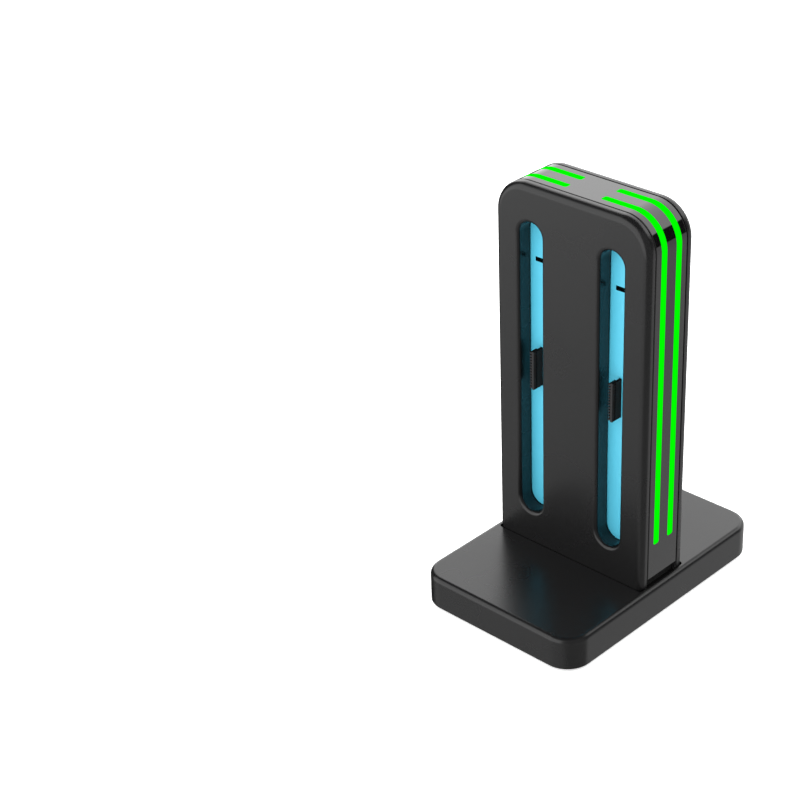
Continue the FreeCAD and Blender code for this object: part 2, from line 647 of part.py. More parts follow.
def foot_bosses(piece):
    """Two bosses on the shell's floor that take the screws from the base."""
    places = [(x, y) for x, y in TOWER_SCREWS if value(y) < 0]
    drawing = piece.sketch("XY", BED_TOP)
    circles(drawing, BOSS_RADIUS, places)
    piece.pad(drawing, "Sizes.floor_wall + Sizes.tower_boss_height")
    drawing = piece.sketch("XY", BED_TOP)
    circles(drawing, PILOT_RADIUS, places)
    depth = "Sizes.tower_screw_length - Sizes.bed_thickness + Sizes.bore_extra"
    piece.pocket(drawing, depth, backwards=True)


def trim_band():
    """Gloss band over both ends and the top, with four slots for light and the inlet's opening."""
    piece = Piece("trim_band")
    foot = f"({BASE_TOP} + Sizes.band_lift)"
    half = "(Sizes.band_width / 2)"
    drawing = piece.sketch("XZ", f"-1 * {half}")
    arch(drawing, "0", foot)
    piece.pad(drawing, "Sizes.band_width")
    drawing = piece.sketch("XZ", f"-1 * {half}")
    arch(drawing, "Sizes.band_thickness", foot)
    piece.pocket(drawing, "Sizes.band_width", backwards=True)
    piece.chamfer("Sizes.band_edge", is_band_rim)
    for side, foot_name in ((1, "Sizes.line_foot_plain"), (-1, "Sizes.line_foot_port")):
        light_slots(piece, side, f"({BASE_TOP} + {foot_name})")
    drawing = piece.sketch("YZ", f"-1 * {HALF_WIDTH}")
    obround(drawing, "Sizes.inlet_width", "Sizes.inlet_height", "0", INLET_Z)
    piece.pocket(drawing, "Sizes.band_thickness + Sizes.bore_extra", backwards=True)
    return piece.place()


def is_band_rim(edge):
    """True for an edge along one side of the band on the tower's outer outline."""
    middle = edge.valueAt((edge.FirstParameter + edge.LastParameter) / 2)
    half, top, corner = value(HALF_WIDTH), value(TOWER_TOP), value("Sizes.tower_corner")
    side = abs(abs(middle.y) - value("Sizes.band_width / 2")) < NEAR
    across, up = abs(middle.x) - (half - corner), middle.z - (top - corner)
    if across > 0 and up > 0:
        return side and abs((across**2 + up**2) ** 0.5 - corner) < NEAR
    return side and (abs(abs(middle.x) - half) < NEAR or abs(middle.z - top) < NEAR)


def light_slots(piece, side, foot):
    """Two parallel slots for light on one side, from foot round the corner to the tip."""
    gap = "Sizes.line_gap"
    width = f"({HALF_WIDTH} + Sizes.bore_extra - Sizes.line_tip + {gap})"
    height = f"({TOWER_TOP} + Sizes.bore_extra - {foot} + {gap})"
    for row in (-1, 1):
        near = f"({row} * Sizes.line_spacing / 2 - Sizes.line_width / 2 - {gap})"
        drawing = piece.sketch("XZ", near)
        across = f"({side} * (Sizes.line_tip - {gap} + {width} / 2))"
        rectangle(drawing, width, height, across, f"({foot} - {gap} + {height} / 2)")
        piece.pocket(drawing, f"Sizes.line_width + 2 * {gap}", backwards=True)
    tip, low = value(f"{side} * (Sizes.line_tip - {gap})"), value(f"{foot} - {gap}")
    piece.fillet("Sizes.line_round", lambda edge: ends_line(edge, side, tip, low))


def ends_line(edge, side, tip, low):
    """True for a corner edge at either end of a line of light: at tip on top, or at low on that side."""
    if runs_along(edge, "Z"):
        return lies_at(edge, "X", tip)
    return runs_along(edge, "X") and lies_at(edge, "Z", low) and edge.CenterOfMass.x * side > 0


def light_guide(label, line_foot, turned):
    """Clear moulding of two glowing lines on a web, drawn for the +X end."""
    piece = Piece(label)
    foot = f"({BASE_TOP} + {line_foot})"
    for row in (-1, 1):
        drawing = piece.sketch("XZ", f"({row} * Sizes.line_spacing / 2 - Sizes.line_width / 2)")
        corner_strip(drawing, "0", "(Sizes.band_thickness + Sizes.step_wall / 2)", foot, "Sizes.line_tip")
        piece.pad(drawing, "Sizes.line_width")
    tip, low = value("Sizes.line_tip"), value(foot)
    piece.fillet("Sizes.line_round", lambda edge: ends_line(edge, 1, tip, low))
    drawing = piece.sketch("XZ", "-1 * Sizes.guide_width / 2")
    end = "(Sizes.line_tip - Sizes.guide_lap)"
    corner_strip(drawing, "Sizes.band_thickness", "Sizes.step_wall", f"({foot} - Sizes.guide_lap)", end)
    piece.pad(drawing, "Sizes.guide_width")
    return piece.place(turned=turned)


def light_strip(label, line_foot, turned):
    """Flexible circuit behind a light guide, with a tail soldered to the main board."""
    piece = Piece(label)
    foot = f"({BASE_TOP} + {line_foot})"
    drawing = piece.sketch("XZ", "-1 * Sizes.flex_width / 2")
    corner_strip(drawing, LAMP_INSET, "Sizes.flex_thickness", foot, "Sizes.line_tip")
    piece.pad(drawing, "Sizes.flex_width")
    drawing = piece.sketch("XZ", BOARD_HALF)
    width = "(Sizes.board_side_gap + Sizes.tail_lap + Sizes.flex_thickness / 2)"
    middle = f"({HALF_WIDTH} - {FLEX_INSET} + Sizes.flex_thickness / 2 - {width} / 2)"
    rectangle(drawing, width, "Sizes.tail_length", middle, f"({foot} + Sizes.tail_lift)")
    piece.pad(drawing, "Sizes.flex_thickness")
    return piece.place(turned=turned)


def lamps(label, line_foot, turned):
    """Light-emitting chips in two rows between a light strip and its guide."""
    piece = Piece(label)
    rows = [(f"({row} * Sizes.line_spacing / 2)", row) for row in (-1, 1)]
    drawing = piece.sketch("YZ", f"({HALF_WIDTH} - {LAMP_INSET})")
    low = f"({BASE_TOP} + {line_foot} + Sizes.lamp_length)"
    for across, row in rows:
        rectangle(drawing, "Sizes.lamp_width", "Sizes.lamp_length", across, low)
    first = piece.pad(drawing, "Sizes.lamp_height")
    piece.repeat(first, drawing, "V_Axis", "Sizes.lamp_pitch * (Sizes.lamp_count - 1)", "Sizes.lamp_count")
    drawing = piece.sketch("XY", f"({TOWER_TOP} - {LAMP_INSET})")
    for across, row in rows:
        for place in (0, 1):
            out = f"(Sizes.line_tip + Sizes.lamp_length / 2 + {place} * Sizes.top_lamp_pitch)"
            rectangle(drawing, "Sizes.lamp_length", "Sizes.lamp_width", out, across)
    piece.pad(drawing, "Sizes.lamp_height")
    return piece.place(turned=turned)


def slot_liner(label, x, turned):
    """Coloured floor of a slot, with a latch slit and a window for the contact blade."""
    piece = Piece(label)
    drawing = piece.sketch("XZ", LINER_BACK)
    obround(drawing, SKIRT_WIDTH, SKIRT_LENGTH)
    piece.pad(drawing, "Sizes.liner_thickness")
    drawing = piece.sketch("XZ", SLOT_FLOOR)
    gap = "2 * Sizes.liner_window_gap"
    rectangle(drawing, f"(Sizes.blade_width + {gap})", f"(Sizes.blade_length + {gap})", BLADE_X, BLADE_Z)
    rectangle(drawing, "Sizes.slit_width", "Sizes.slit_height", "0", "Sizes.slit_lift")
    piece.pocket(drawing, "Sizes.liner_thickness")
    return piece.place(x, "0", SLOT_Z, turned)


def contact_block(label, x, turned):
    """Moulded block on the main board whose blade stands up through the liner."""
    piece = Piece(label)
    drawing = piece.sketch("XZ", BOARD_HALF)
    rectangle(drawing, "Sizes.block_width", "Sizes.block_length", BLADE_X, BLADE_Z)
    piece.pad(drawing, f"{LINER_BACK} - {BOARD_HALF}")
    drawing = piece.sketch("XZ", BOARD_HALF)
    rectangle(drawing, "Sizes.blade_width", "Sizes.blade_length", BLADE_X, BLADE_Z)
    piece.pad(drawing, f"{SLOT_FLOOR} - {BOARD_HALF} + Sizes.blade_reach")
    tip = -value(f"{SLOT_FLOOR} + Sizes.blade_reach")
    piece.chamfer("Sizes.blade_tip_chamfer", lambda edge: lies_at(edge, "Y", tip))
    return piece.place(x, "0", SLOT_Z, turned)


def contact_pins(label, x, turned):
    """Comb of spring contacts on the left side of a blade, whose ends show as pads on its right side."""
    piece = Piece(label)
    contact_row(piece, -1, "contact_proud", "contact_reach", "contact_setback")
    contact_row(piece, 1, "contact_end_proud", "contact_end_reach", "contact_end_setback")
    return piece.place(x, "0", SLOT_Z, turned)


def contact_row(piece, side, proud, reach, setback):
    """Row of equal contacts on one side of a blade, behind its tip."""
    tip = f"({SLOT_FLOOR} + Sizes.blade_reach - Sizes.{setback})"
    drawing = piece.sketch("XZ", f"({tip} - Sizes.{reach})")
    across = f"({BLADE_X} + {side} * (Sizes.blade_width + Sizes.{proud}) / 2)"
    low = f"({BLADE_Z} - Sizes.contact_pitch * (Sizes.contact_count - 1) / 2)"
    rectangle(drawing, f"Sizes.{proud}", "Sizes.contact_width", across, low)
    first = piece.pad(drawing, f"Sizes.{reach}")
    row = "Sizes.contact_pitch * (Sizes.contact_count - 1)"
    piece.repeat(first, drawing, "V_Axis", row, "Sizes.contact_count")


def main_board():
    """Circuit board on the tower's middle plane, notched for the inlet socket."""
    piece = Piece("main_board")
    drawing = piece.sketch("XZ", f"-1 * {BOARD_HALF}")
    rectangle(drawing, BOARD_WIDTH, "Sizes.board_height", "0", f"({BOARD_FOOT} + Sizes.board_height / 2)")
    piece.pad(drawing, "Sizes.board_thickness")
    drawing = piece.sketch("XZ", BOARD_HALF)
    inner = f"({SOCKET_BACK} - Sizes.socket_gap)"
    depth = f"({BOARD_WIDTH} / 2 + Sizes.bore_extra - {inner})"
    middle = f"(-1 * ({inner} + {depth} / 2))"
    rectangle(drawing, depth, "(Sizes.socket_height + 2 * Sizes.socket_gap)", middle, INLET_Z)
    circles(drawing, HOLE_RADIUS, SCREW_POSTS)
    piece.pocket(drawing, "Sizes.board_thickness")
    return piece.place()


def board_chips():
    """Four charging controllers on the front of the board, one for each slot."""
    piece = Piece("board_chips")
    drawing = piece.sketch("XZ", BOARD_HALF)
    for side in (-1, 1):
        for level in (0, 1):
            up = f"({BOARD_FOOT} + Sizes.chip_lift + {level} * Sizes.chip_spacing)"
            across = f"({side} * Sizes.chip_spacing / 2)"
            rectangle(drawing, "Sizes.chip_size", "Sizes.chip_size", across, up)
    piece.pad(drawing, "Sizes.chip_height")
    return piece.place()


def board_coils():
    """Two power inductors on the back of the board."""
    piece = Piece("board_coils")
    drawing = piece.sketch("XZ", f"-1 * {BOARD_HALF}")
    for side in (-1, 1):
        across = f"({side} * Sizes.chip_spacing / 2)"
        up = f"({BOARD_FOOT} + Sizes.chip_lift)"
        rectangle(drawing, "Sizes.coil_size", "Sizes.coil_size", across, up)
    piece.pad(drawing, "Sizes.coil_height", backwards=True)
    back = value(f"{BOARD_HALF} + Sizes.coil_height")
    piece.chamfer("Sizes.coil_bevel", lambda edge: lies_at(edge, "Y", back))
    return piece.place()


def board_capacitors():
    """Row of capacitors above the coils on the back of the board."""
    piece = Piece("board_capacitors")
    drawing = piece.sketch("XZ", f"-1 * {BOARD_HALF}")
    up = f"({BOARD_FOOT} + Sizes.chip_lift + Sizes.chip_spacing)"
    left = "(-1 * Sizes.capacitor_pitch * (Sizes.capacitor_count - 1) / 2)"
    rectangle(drawing, "Sizes.capacitor_width", "Sizes.capacitor_length", left, up)
    first = piece.pad(drawing, "Sizes.capacitor_height", backwards=True)
    row = "Sizes.capacitor_pitch * (Sizes.capacitor_count - 1)"
    piece.repeat(first, drawing, "H_Axis", row, "Sizes.capacitor_count")
    return piece.place()


def inlet_socket():
    """Round-ended metal tube of the charging inlet, drawn at the +X end and turned to the -X end."""
    piece = Piece("inlet_socket")
    drawing = piece.sketch("YZ", SOCKET_BACK)
    obround(drawing, "Sizes.socket_thickness", "Sizes.socket_height", "0", INLET_Z)
    piece.pad(drawing, "Sizes.socket_length")
    drawing = piece.sketch("YZ", f"({SOCKET_BACK} + Sizes.socket_length)")
    wall = "2 * Sizes.socket_wall"
    obround(drawing, f"(Sizes.socket_thickness - {wall})", f"(Sizes.socket_height - {wall})", "0", INLET_Z)
    piece.pocket(drawing, "Sizes.socket_length - Sizes.socket_wall")
    return piece.place(turned=True)


def inlet_tongue():
    """Insulated tongue that carries the inlet's contacts, seated on the socket's back wall."""
    piece = Piece("inlet_tongue")
    drawing = piece.sketch("YZ", f"({SOCKET_BACK} + Sizes.socket_wall)")
    rectangle(drawing, "Sizes.tongue_thickness", "Sizes.tongue_height", "0", INLET_Z)
    piece.pad(drawing, "Sizes.tongue_length")
    return piece.place(turned=True)


def build():
    """Make every piece of the dock."""
    base_shell()
    base_plate()
    for label, (x, y) in zip(("front_left", "rear_left", "front_right", "rear_right"), FOOT_PLACES):
        rubber_foot(f"foot_{label}", x, y)
    ballast("ballast_front", turned=False)
    ballast("ballast_rear", turned=True)
    plate_seat = "(Sizes.foot_stand + Sizes.screw_head_height)"
    screws("base_screws", BASE_SCREWS, plate_seat, "Sizes.base_screw_length")
    screws("tower_screws", TOWER_SCREWS, BED_UNDER, "Sizes.tower_screw_length")
    tower_shell("front_shell", plain_side=1, turned=False, holds_board=False)
    tower_shell("rear_shell", plain_side=-1, turned=True, holds_board=True)
    trim_band()
    for end, turned in (("plain", False), ("port", True)):
        light_guide(f"light_guide_{end}_end", f"Sizes.line_foot_{end}", turned)
        light_strip(f"light_strip_{end}_end", f"Sizes.line_foot_{end}", turned)
        lamps(f"lamps_{end}_end", f"Sizes.line_foot_{end}", turned)
    for face, turned in (("front", False), ("rear", True)):
        for hand, side in (("left", -1), ("right", 1)):
            x = f"{side} * {SLOT_X}"
            slot_liner(f"slot_liner_{face}_{hand}", x, turned)
            contact_block(f"contact_block_{face}_{hand}", x, turned)
            contact_pins(f"contact_pins_{face}_{hand}", x, turned)
    main_board()
    board_chips()
    board_coils()
    board_capacitors()
    screws("board_screws", SCREW_POSTS, BOARD_HALF, "Sizes.board_screw_length", plane="XZ", backwards=True)
    inlet_socket()
    inlet_tongue()


def write():
    """Check every object and write each piece to its own file."""
    doc.recompute()
    failed = [item.Name for item in doc.Objects if {"Invalid", "Error"} & set(item.State)]
    if failed:
        raise RuntimeError(f"not built: {', '.join(failed)}")
    os.makedirs("parts", exist_ok=True)
    for piece in Piece.made:
        shape = piece.body.Shape
        if shape.isNull() or not shape.isValid():
            raise RuntimeError(f"{piece.body.Label} has no valid shape")
        shape.exportStep(f"parts/{piece.body.Label}.step")
        box = shape.BoundBox
        size = f"{box.XLength:.2f} x {box.YLength:.2f} x {box.ZLength:.2f}"
        print(f"{piece.body.Label}: {len(shape.Solids)} solids, {shape.Volume:.1f} mm3, {size}")


build()
write()
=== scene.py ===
"""Dresses the controller charging dock: casings, gloss band, lines of light, slots and studio.

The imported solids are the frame. The pieces that show are modelled again with rounded edges in the
same places and stand for their solids. Those inside keep their solids and get a finish. Metres,
+Z up, wide faces towards -Y and +Y, and the charging inlet at the -X end.
"""

from __future__ import annotations

import json
import logging
import math
from dataclasses import dataclass, field
from enum import Enum
from typing import Any, Callable, NamedTuple, Sequence

import bmesh
import bpy
from mathutils import Matrix, Vector

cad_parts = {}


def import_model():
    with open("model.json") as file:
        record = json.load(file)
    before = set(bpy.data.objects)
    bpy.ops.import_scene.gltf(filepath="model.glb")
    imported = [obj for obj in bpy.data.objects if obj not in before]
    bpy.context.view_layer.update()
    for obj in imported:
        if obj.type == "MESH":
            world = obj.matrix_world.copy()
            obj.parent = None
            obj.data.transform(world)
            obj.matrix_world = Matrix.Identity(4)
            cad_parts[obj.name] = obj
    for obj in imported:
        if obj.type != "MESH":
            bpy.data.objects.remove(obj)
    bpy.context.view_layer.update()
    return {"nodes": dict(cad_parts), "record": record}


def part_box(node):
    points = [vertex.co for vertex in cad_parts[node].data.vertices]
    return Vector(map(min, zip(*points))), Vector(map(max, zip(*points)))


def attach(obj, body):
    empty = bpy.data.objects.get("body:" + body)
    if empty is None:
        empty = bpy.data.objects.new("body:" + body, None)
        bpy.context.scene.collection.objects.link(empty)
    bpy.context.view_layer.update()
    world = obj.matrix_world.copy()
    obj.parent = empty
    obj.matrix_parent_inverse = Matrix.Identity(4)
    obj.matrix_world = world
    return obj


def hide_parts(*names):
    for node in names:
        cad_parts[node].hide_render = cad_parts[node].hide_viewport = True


log = logging.getLogger("charging_dock")

Mesh = bmesh.types.BMesh
Edge = bmesh.types.BMEdge
Node = bpy.types.Node
Socket = bpy.types.NodeSocket
Color = tuple[float, float, float]
Test = Callable[[Vector], bool]

MM = 0.001
WELD = 1e-7
NEAR = 1e-6
CLOSE = 2e-5
REACH = 1.0 * MM
BODY = "root"
HALF_TURN = Matrix.Rotation(math.pi, 4, "Z")
SHARP_ANGLE = math.radians(32)
X, Y, Z = 0, 1, 2
UP = Vector((0, 0, 1))
FACES, HANDS = ("front", "rear"), ("left", "right")
ENDS = (("light_guide_plain_end", 1), ("light_guide_port_end", -1))
WHITE = (1.0, 1.0, 1.0, 1.0)


class Combine(Enum):
    """Ways in which one solid changes another."""

    CUT = "DIFFERENCE"
    ADD = "UNION"
    KEEP = "INTERSECT"


class Slot(Enum):
    """Material slots of the record."""

    BLACK_SATIN = "black_satin"
    BLACK_MATT = "black_matt"
    BLACK_GLOSS = "black_gloss"
    GREEN_LIGHT = "green_light"
    CYAN_LINER = "cyan_liner"
    CONTACT_BLACK = "contact_black"
    CONTACT_METAL = "contact_metal"
    RUBBER = "rubber"
    STEEL = "steel"
    ZINC_SCREW = "zinc_screw"
    CIRCUIT_BOARD = "circuit_board"
    CIRCUIT_FLEX = "circuit_flex"
    LAMP = "lamp"
    CHIP_BLACK = "chip_black"
    COIL_GREY = "coil_grey"
    CAPACITOR_TAN = "capacitor_tan"
    NICKEL_SHELL = "nickel_shell"


class Round(NamedTuple):
    """Round of an edge: its radius and the straight pieces across it."""

    radius: float
    pieces: int


class Wiring:
    """Adds linked nodes to one node tree."""

    def __init__(self, tree: bpy.types.NodeTree) -> None:
        """Start on a tree.

        Args:
            tree: node tree that the nodes are added to.
        """
        self.tree = tree

    def add(self, kind: str, inputs: dict[Any, Any] | None = None, **settings: Any) -> Node:
        """Add one node.

        Args:
            kind: the node's type name.
            inputs: a value or a socket to link for each input, by name or number.
            settings: properties set on the node.

        Returns:
            The new node.
        """
        made = self.tree.nodes.new(kind)
        for name, setting in settings.items():
            setattr(made, name, setting)
        self.feed(made, inputs or {})
        return made

    def feed(self, node: Node, inputs: dict[Any, Any]) -> None:
        """Link or set inputs of a node.

        Args:
            node: the node.
            inputs: a value or a socket to link for each input, by name or number.
        """
        for name, given in inputs.items():
            if isinstance(given, Socket):
                self.tree.links.new(given, node.inputs[name])
            else:
                node.inputs[name].default_value = given

    def math(self, operation: str, *terms: Any) -> Socket:
        """Result of a Math node on values or sockets."""
        return self.add("ShaderNodeMath", dict(enumerate(terms)), operation=operation).outputs[0]

    def place(self) -> Socket:
        """Place on the piece, in metres."""
        return self.add("ShaderNodeTexCoord").outputs["Object"]

    def mix(self, mask: Socket, dark: Color, light: Color) -> Socket:
        """Colour that runs from one to another with a mask."""
        inputs = {0: mask, 6: (*dark, 1.0), 7: (*light, 1.0)}
        return self.add("ShaderNodeMix", inputs, data_type="RGBA").outputs[2]


class Pattern:
    """Surface pattern that several finishes share, as a node group that is built once."""

    name = ""
    takes: dict[str, tuple[str, Any]] = {}

    def tree(self) -> bpy.types.NodeTree:
        """The pattern's group, which puts out a bump height and a mask.

        Returns:
            The group's tree.
        """
        if self.name in bpy.data.node_groups:
            return bpy.data.node_groups[self.name]
        tree = bpy.data.node_groups.new(self.name, "ShaderNodeTree")
        for socket, (kind, default) in self.takes.items():
            made = tree.interface.new_socket(name=socket, in_out="INPUT", socket_type=kind)
            if default is not None:
                made.default_value = default
        for socket in ("Height", "Mask"):
            tree.interface.new_socket(name=socket, in_out="OUTPUT", socket_type="NodeSocketFloat")
        given, out = tree.nodes.new("NodeGroupInput"), tree.nodes.new("NodeGroupOutput")
        for socket, result in zip(("Height", "Mask"), self.draw(Wiring(tree), given.outputs)):
            tree.links.new(result, out.inputs[socket])
        return tree

    def draw(self, wiring: Wiring, given: Any) -> tuple[Socket, Socket]:
        """Wire the height and the mask. Each pattern has its own."""
        raise NotImplementedError


class MouldedGrain(Pattern):
    """Fine spark-eroded grain, with a slow drift of sheen as its mask."""

    name = "moulded_grain"
    takes = {"Vector": ("NodeSocketVector", None), "Grain": ("NodeSocketFloat", 2000.0),
             "Drift": ("NodeSocketFloat", 40.0)}
    grain_detail = 2.0
    drift_detail = 3.0
    pit_share = 0.5

    def draw(self, wiring: Wiring, given: Any) -> tuple[Socket, Socket]:
        """Wire grain and pits into the height, and the drift into the mask.

        Args:
            wiring: the group's tree.
            given: the group's own inputs.

        Returns:
            Sockets of the height and the mask.
        """
        vector, fine = given["Vector"], given["Grain"]
        grain = wiring.add("ShaderNodeTexNoise", {"Vector": vector, "Scale": fine,
                                                  "Detail": self.grain_detail})
        pits = wiring.add("ShaderNodeTexVoronoi", {"Vector": vector, "Scale": fine})
        drift = wiring.add("ShaderNodeTexNoise", {"Vector": vector, "Scale": given["Drift"],
                                                  "Detail": self.drift_detail})
        depth = wiring.math("MULTIPLY", pits.outputs["Distance"], self.pit_share)
        return wiring.math("ADD", grain.outputs[0], depth), drift.outputs[0]


class DrawnLines(Pattern):
    """Fine lines along one direction, as rolling, drawing or brushing leaves them."""

    name = "drawn_lines"
    takes = {"Vector": ("NodeSocketVector", None), "Scale": ("NodeSocketFloat", 1500.0),
             "Stretch": ("NodeSocketVector", (0.03, 1.0, 1.0))}
    detail = 4.0

    def draw(self, wiring: Wiring, given: Any) -> tuple[Socket, Socket]:
        """Wire the same lines into the height and the mask.

        Args:
            wiring: the group's tree.
            given: the group's own inputs.

        Returns:
            Sockets of the height and the mask.
        """
        stretched = wiring.add("ShaderNodeVectorMath", {0: given["Vector"], 1: given["Stretch"]},
                               operation="MULTIPLY")
        lines = wiring.add("ShaderNodeTexNoise", {"Vector": stretched.outputs[0], "Scale": given["Scale"],
                                                  "Detail": self.detail})
        return lines.outputs[0], lines.outputs[0]


@dataclass(frozen=True)
class Finish:
    """A named surface and the record's slot that it belongs to."""

    name: str
    slot: Slot
    color: Color
    roughness: float = 0.4
    ior: float = 1.5

    def material(self) -> bpy.types.Material:
        """The finish's material.

        Returns:
            The material, with a Principled shader at its heart, made the first time it is asked for.
        """
        if self.name in bpy.data.materials:
            return bpy.data.materials[self.name]
        made = bpy.data.materials.new(self.name)
        made.use_nodes = True
        made.diffuse_color = (*self.color, 1.0)
        wiring, shader = Wiring(made.node_tree), made.node_tree.nodes["Principled BSDF"]
        wiring.feed(shader, {"Base Color": (*self.color, 1.0), "Roughness": self.roughness, "IOR": self.ior})
        wiring.feed(shader, self.surface(wiring))
        return made

    def surface(self, wiring: Wiring) -> dict[str, Any]:
        """Shader inputs that set this kind of surface apart. Each kind has its own."""
        raise NotImplementedError

    def toned(self, swing: float) -> Color:
        """The finish's colour, lighter or darker by a share."""
        return tuple(part * (1 + swing) for part in self.color)

    def driven(self, wiring: Wiring, pattern: Node, tone: Socket, swing: float, relief: float,
               ramp: str) -> dict[str, Any]:
        """Colour, roughness and bump that follow a pattern.

        Args:
            wiring: the material's tree.
            pattern: node of the pattern's group.
            tone: socket of the colour.
            swing: of the roughness, either way.
            relief: depth of the bump.
            ramp: how the roughness runs with the mask.

        Returns:
            The shader's inputs.
        """
        mask_low, mask_high = 0.3, 0.7
        rough = wiring.add("ShaderNodeMapRange", {0: pattern.outputs["Mask"], 1: mask_low, 2: mask_high,
                                                  3: self.roughness - swing, 4: self.roughness + swing},
                           interpolation_type=ramp)
        bump = wiring.add("ShaderNodeBump", {"Height": pattern.outputs["Height"], "Distance": relief})
        return {"Base Color": tone, "Roughness": rough.outputs[0], "Normal": bump.outputs[0]}


@dataclass(frozen=True)
class Moulding(Finish):
    """Injection-moulded plastic or rubber with an eroded grain."""

    grain: float = 2200.0
    relief: float = 4e-6
    sheen_swing: float = 0.03
    tone_swing: float = 0.12
    drift: float = 35.0
    glow: float = 0.0

    def surface(self, wiring: Wiring) -> dict[str, Any]:
        """Drive the surface from the moulded grain, with emitted light where the finish has one: the lamp
        lens's own light, and painted light on the coloured liner.

        Args:
            wiring: the material's tree.

        Returns:
            The shader's inputs.
        """
        pattern = wiring.add("ShaderNodeGroup", {"Vector": wiring.place(), "Grain": self.grain,
                                                 "Drift": self.drift}, node_tree=MouldedGrain().tree())
        tone = wiring.mix(pattern.outputs["Mask"], self.toned(-self.tone_swing), self.toned(self.tone_swing))
        inputs = self.driven(wiring, pattern, tone, self.sheen_swing, self.relief, "SMOOTHSTEP")
        return {**inputs, "Emission Color": tone, "Emission Strength": self.glow} if self.glow else inputs


@dataclass(frozen=True)
class Metal(Finish):
    """Plated or bare metal with fine lines."""

    scale: float = 1500.0
    stretch: Color = (0.03, 1.0, 1.0)
    relief: float = 3e-6
    streak_swing: float = 0.08

    def surface(self, wiring: Wiring) -> dict[str, Any]:
        """Drive the surface from drawn lines.

        Args:
            wiring: the material's tree.

        Returns:
            The shader's inputs.
        """
        pattern = wiring.add("ShaderNodeGroup", {"Vector": wiring.place(), "Scale": self.scale,
                                                 "Stretch": self.stretch}, node_tree=DrawnLines().tree())
        tone = wiring.mix(pattern.outputs["Mask"], self.toned(-self.streak_swing), self.color)
        inputs = self.driven(wiring, pattern, tone, self.streak_swing, self.relief, "LINEAR")
        return {"Metallic": 1.0, **inputs}


@dataclass(frozen=True)
class Laminate(Finish):
    """Circuit laminate with copper tracks that show through its mask."""

    track: Color = (0.1, 0.3, 0.12)
    pitch: float = 500.0
    track_edge: float = 0.42
    relief: float = 2e-5

    def surface(self, wiring: Wiring) -> dict[str, Any]:
        """Mix the track colour over the mask along stepped lines.

        Args:
            wiring: the material's tree.

        Returns:
            The shader's inputs.
        """
        cells = wiring.add("ShaderNodeTexVoronoi", {"Vector": wiring.place(), "Scale": self.pitch},
                           distance="CHEBYCHEV", feature="F1")
        edge = wiring.math("GREATER_THAN", cells.outputs["Distance"], self.track_edge)
        bump = wiring.add("ShaderNodeBump", {"Height": edge, "Distance": self.relief})
        return {"Base Color": wiring.mix(edge, self.color, self.track), "Normal": bump.outputs[0]}


@dataclass(frozen=True)
class Glow(Finish):
    """Clear plastic that is lit from behind, so evenly that only its own light shows."""

    strength: float = 1.0
    unevenness: float = 0.02
    lamp_scale: float = 60.0

    def surface(self, wiring: Wiring) -> dict[str, Any]:
        """Give the light a faint swell from lamp to lamp.

        Args:
            wiring: the material's tree.

        Returns:
            The shader's inputs.
        """
        swell = wiring.add("ShaderNodeTexNoise", {"Vector": wiring.place(), "Scale": self.lamp_scale,
                                                  "Detail": 0.0})
        tone = wiring.mix(swell.outputs[0], self.color, self.toned(-self.unevenness))
        return {"Emission Color": tone, "Emission Strength": self.strength,
                "Base Color": (0.0, 0.0, 0.0, 1.0), "Specular IOR Level": 0.0}


SATIN = Moulding("satin_casing", Slot.BLACK_SATIN, (0.0045, 0.0045, 0.0047), roughness=0.28,
                 relief=1.5e-6, sheen_swing=0.015, tone_swing=0.06)
SLOT_WALL = Moulding("smooth_slot_wall", Slot.BLACK_SATIN, (0.002, 0.002, 0.002), roughness=0.25,
                     ior=1.44, relief=1e-6)
MATT = Moulding("matt_cover", Slot.BLACK_MATT, (0.02, 0.02, 0.02), roughness=0.55, relief=8e-6)
# Painted shade: a near-black coat that hardly reflects, put on recesses, grooves, slits and edges that should
# read as shadow.
PAINTED_SHADE = Moulding("painted_shade_recess", Slot.BLACK_SATIN, (0.005, 0.005, 0.005), roughness=0.9, ior=1.1)
GLOSS = Moulding("gloss_band", Slot.BLACK_GLOSS, (0.002, 0.002, 0.002), roughness=0.05, ior=1.63,
                 relief=2e-7, sheen_swing=0.01)
GREEN = Glow("lit_guide_plastic", Slot.GREEN_LIGHT, (0.0, 1.0, 0.0), roughness=1.0, ior=1.0)
# Painted light: the liner is no lamp, but its colour also glows faintly so its floor stays bright deep in the
# slot.
CYAN = Moulding("blue_liner_painted_glow", Slot.CYAN_LINER, (0.085, 0.5, 0.68), roughness=0.35, glow=0.12,
                tone_swing=0.02, relief=1e-6)
BLADE = Moulding("contact_moulding", Slot.CONTACT_BLACK, (0.008, 0.008, 0.0085), roughness=0.3)
FLANK = Moulding("contact_moulding_side", Slot.CONTACT_BLACK, (0.026, 0.02, 0.018), roughness=0.6, ior=1.15)
CONTACT = Metal("contact_plating", Slot.CONTACT_METAL, (0.055, 0.055, 0.058), roughness=0.35)
RUBBER = Moulding("foot_rubber", Slot.RUBBER, (0.014, 0.014, 0.014), roughness=0.75, relief=1.2e-5,
                  grain=1400.0)
NICKEL = Metal("plated_inlet_shell", Slot.NICKEL_SHELL, (0.7, 0.69, 0.66), roughness=0.25,
               stretch=(0.05, 1.0, 1.0))

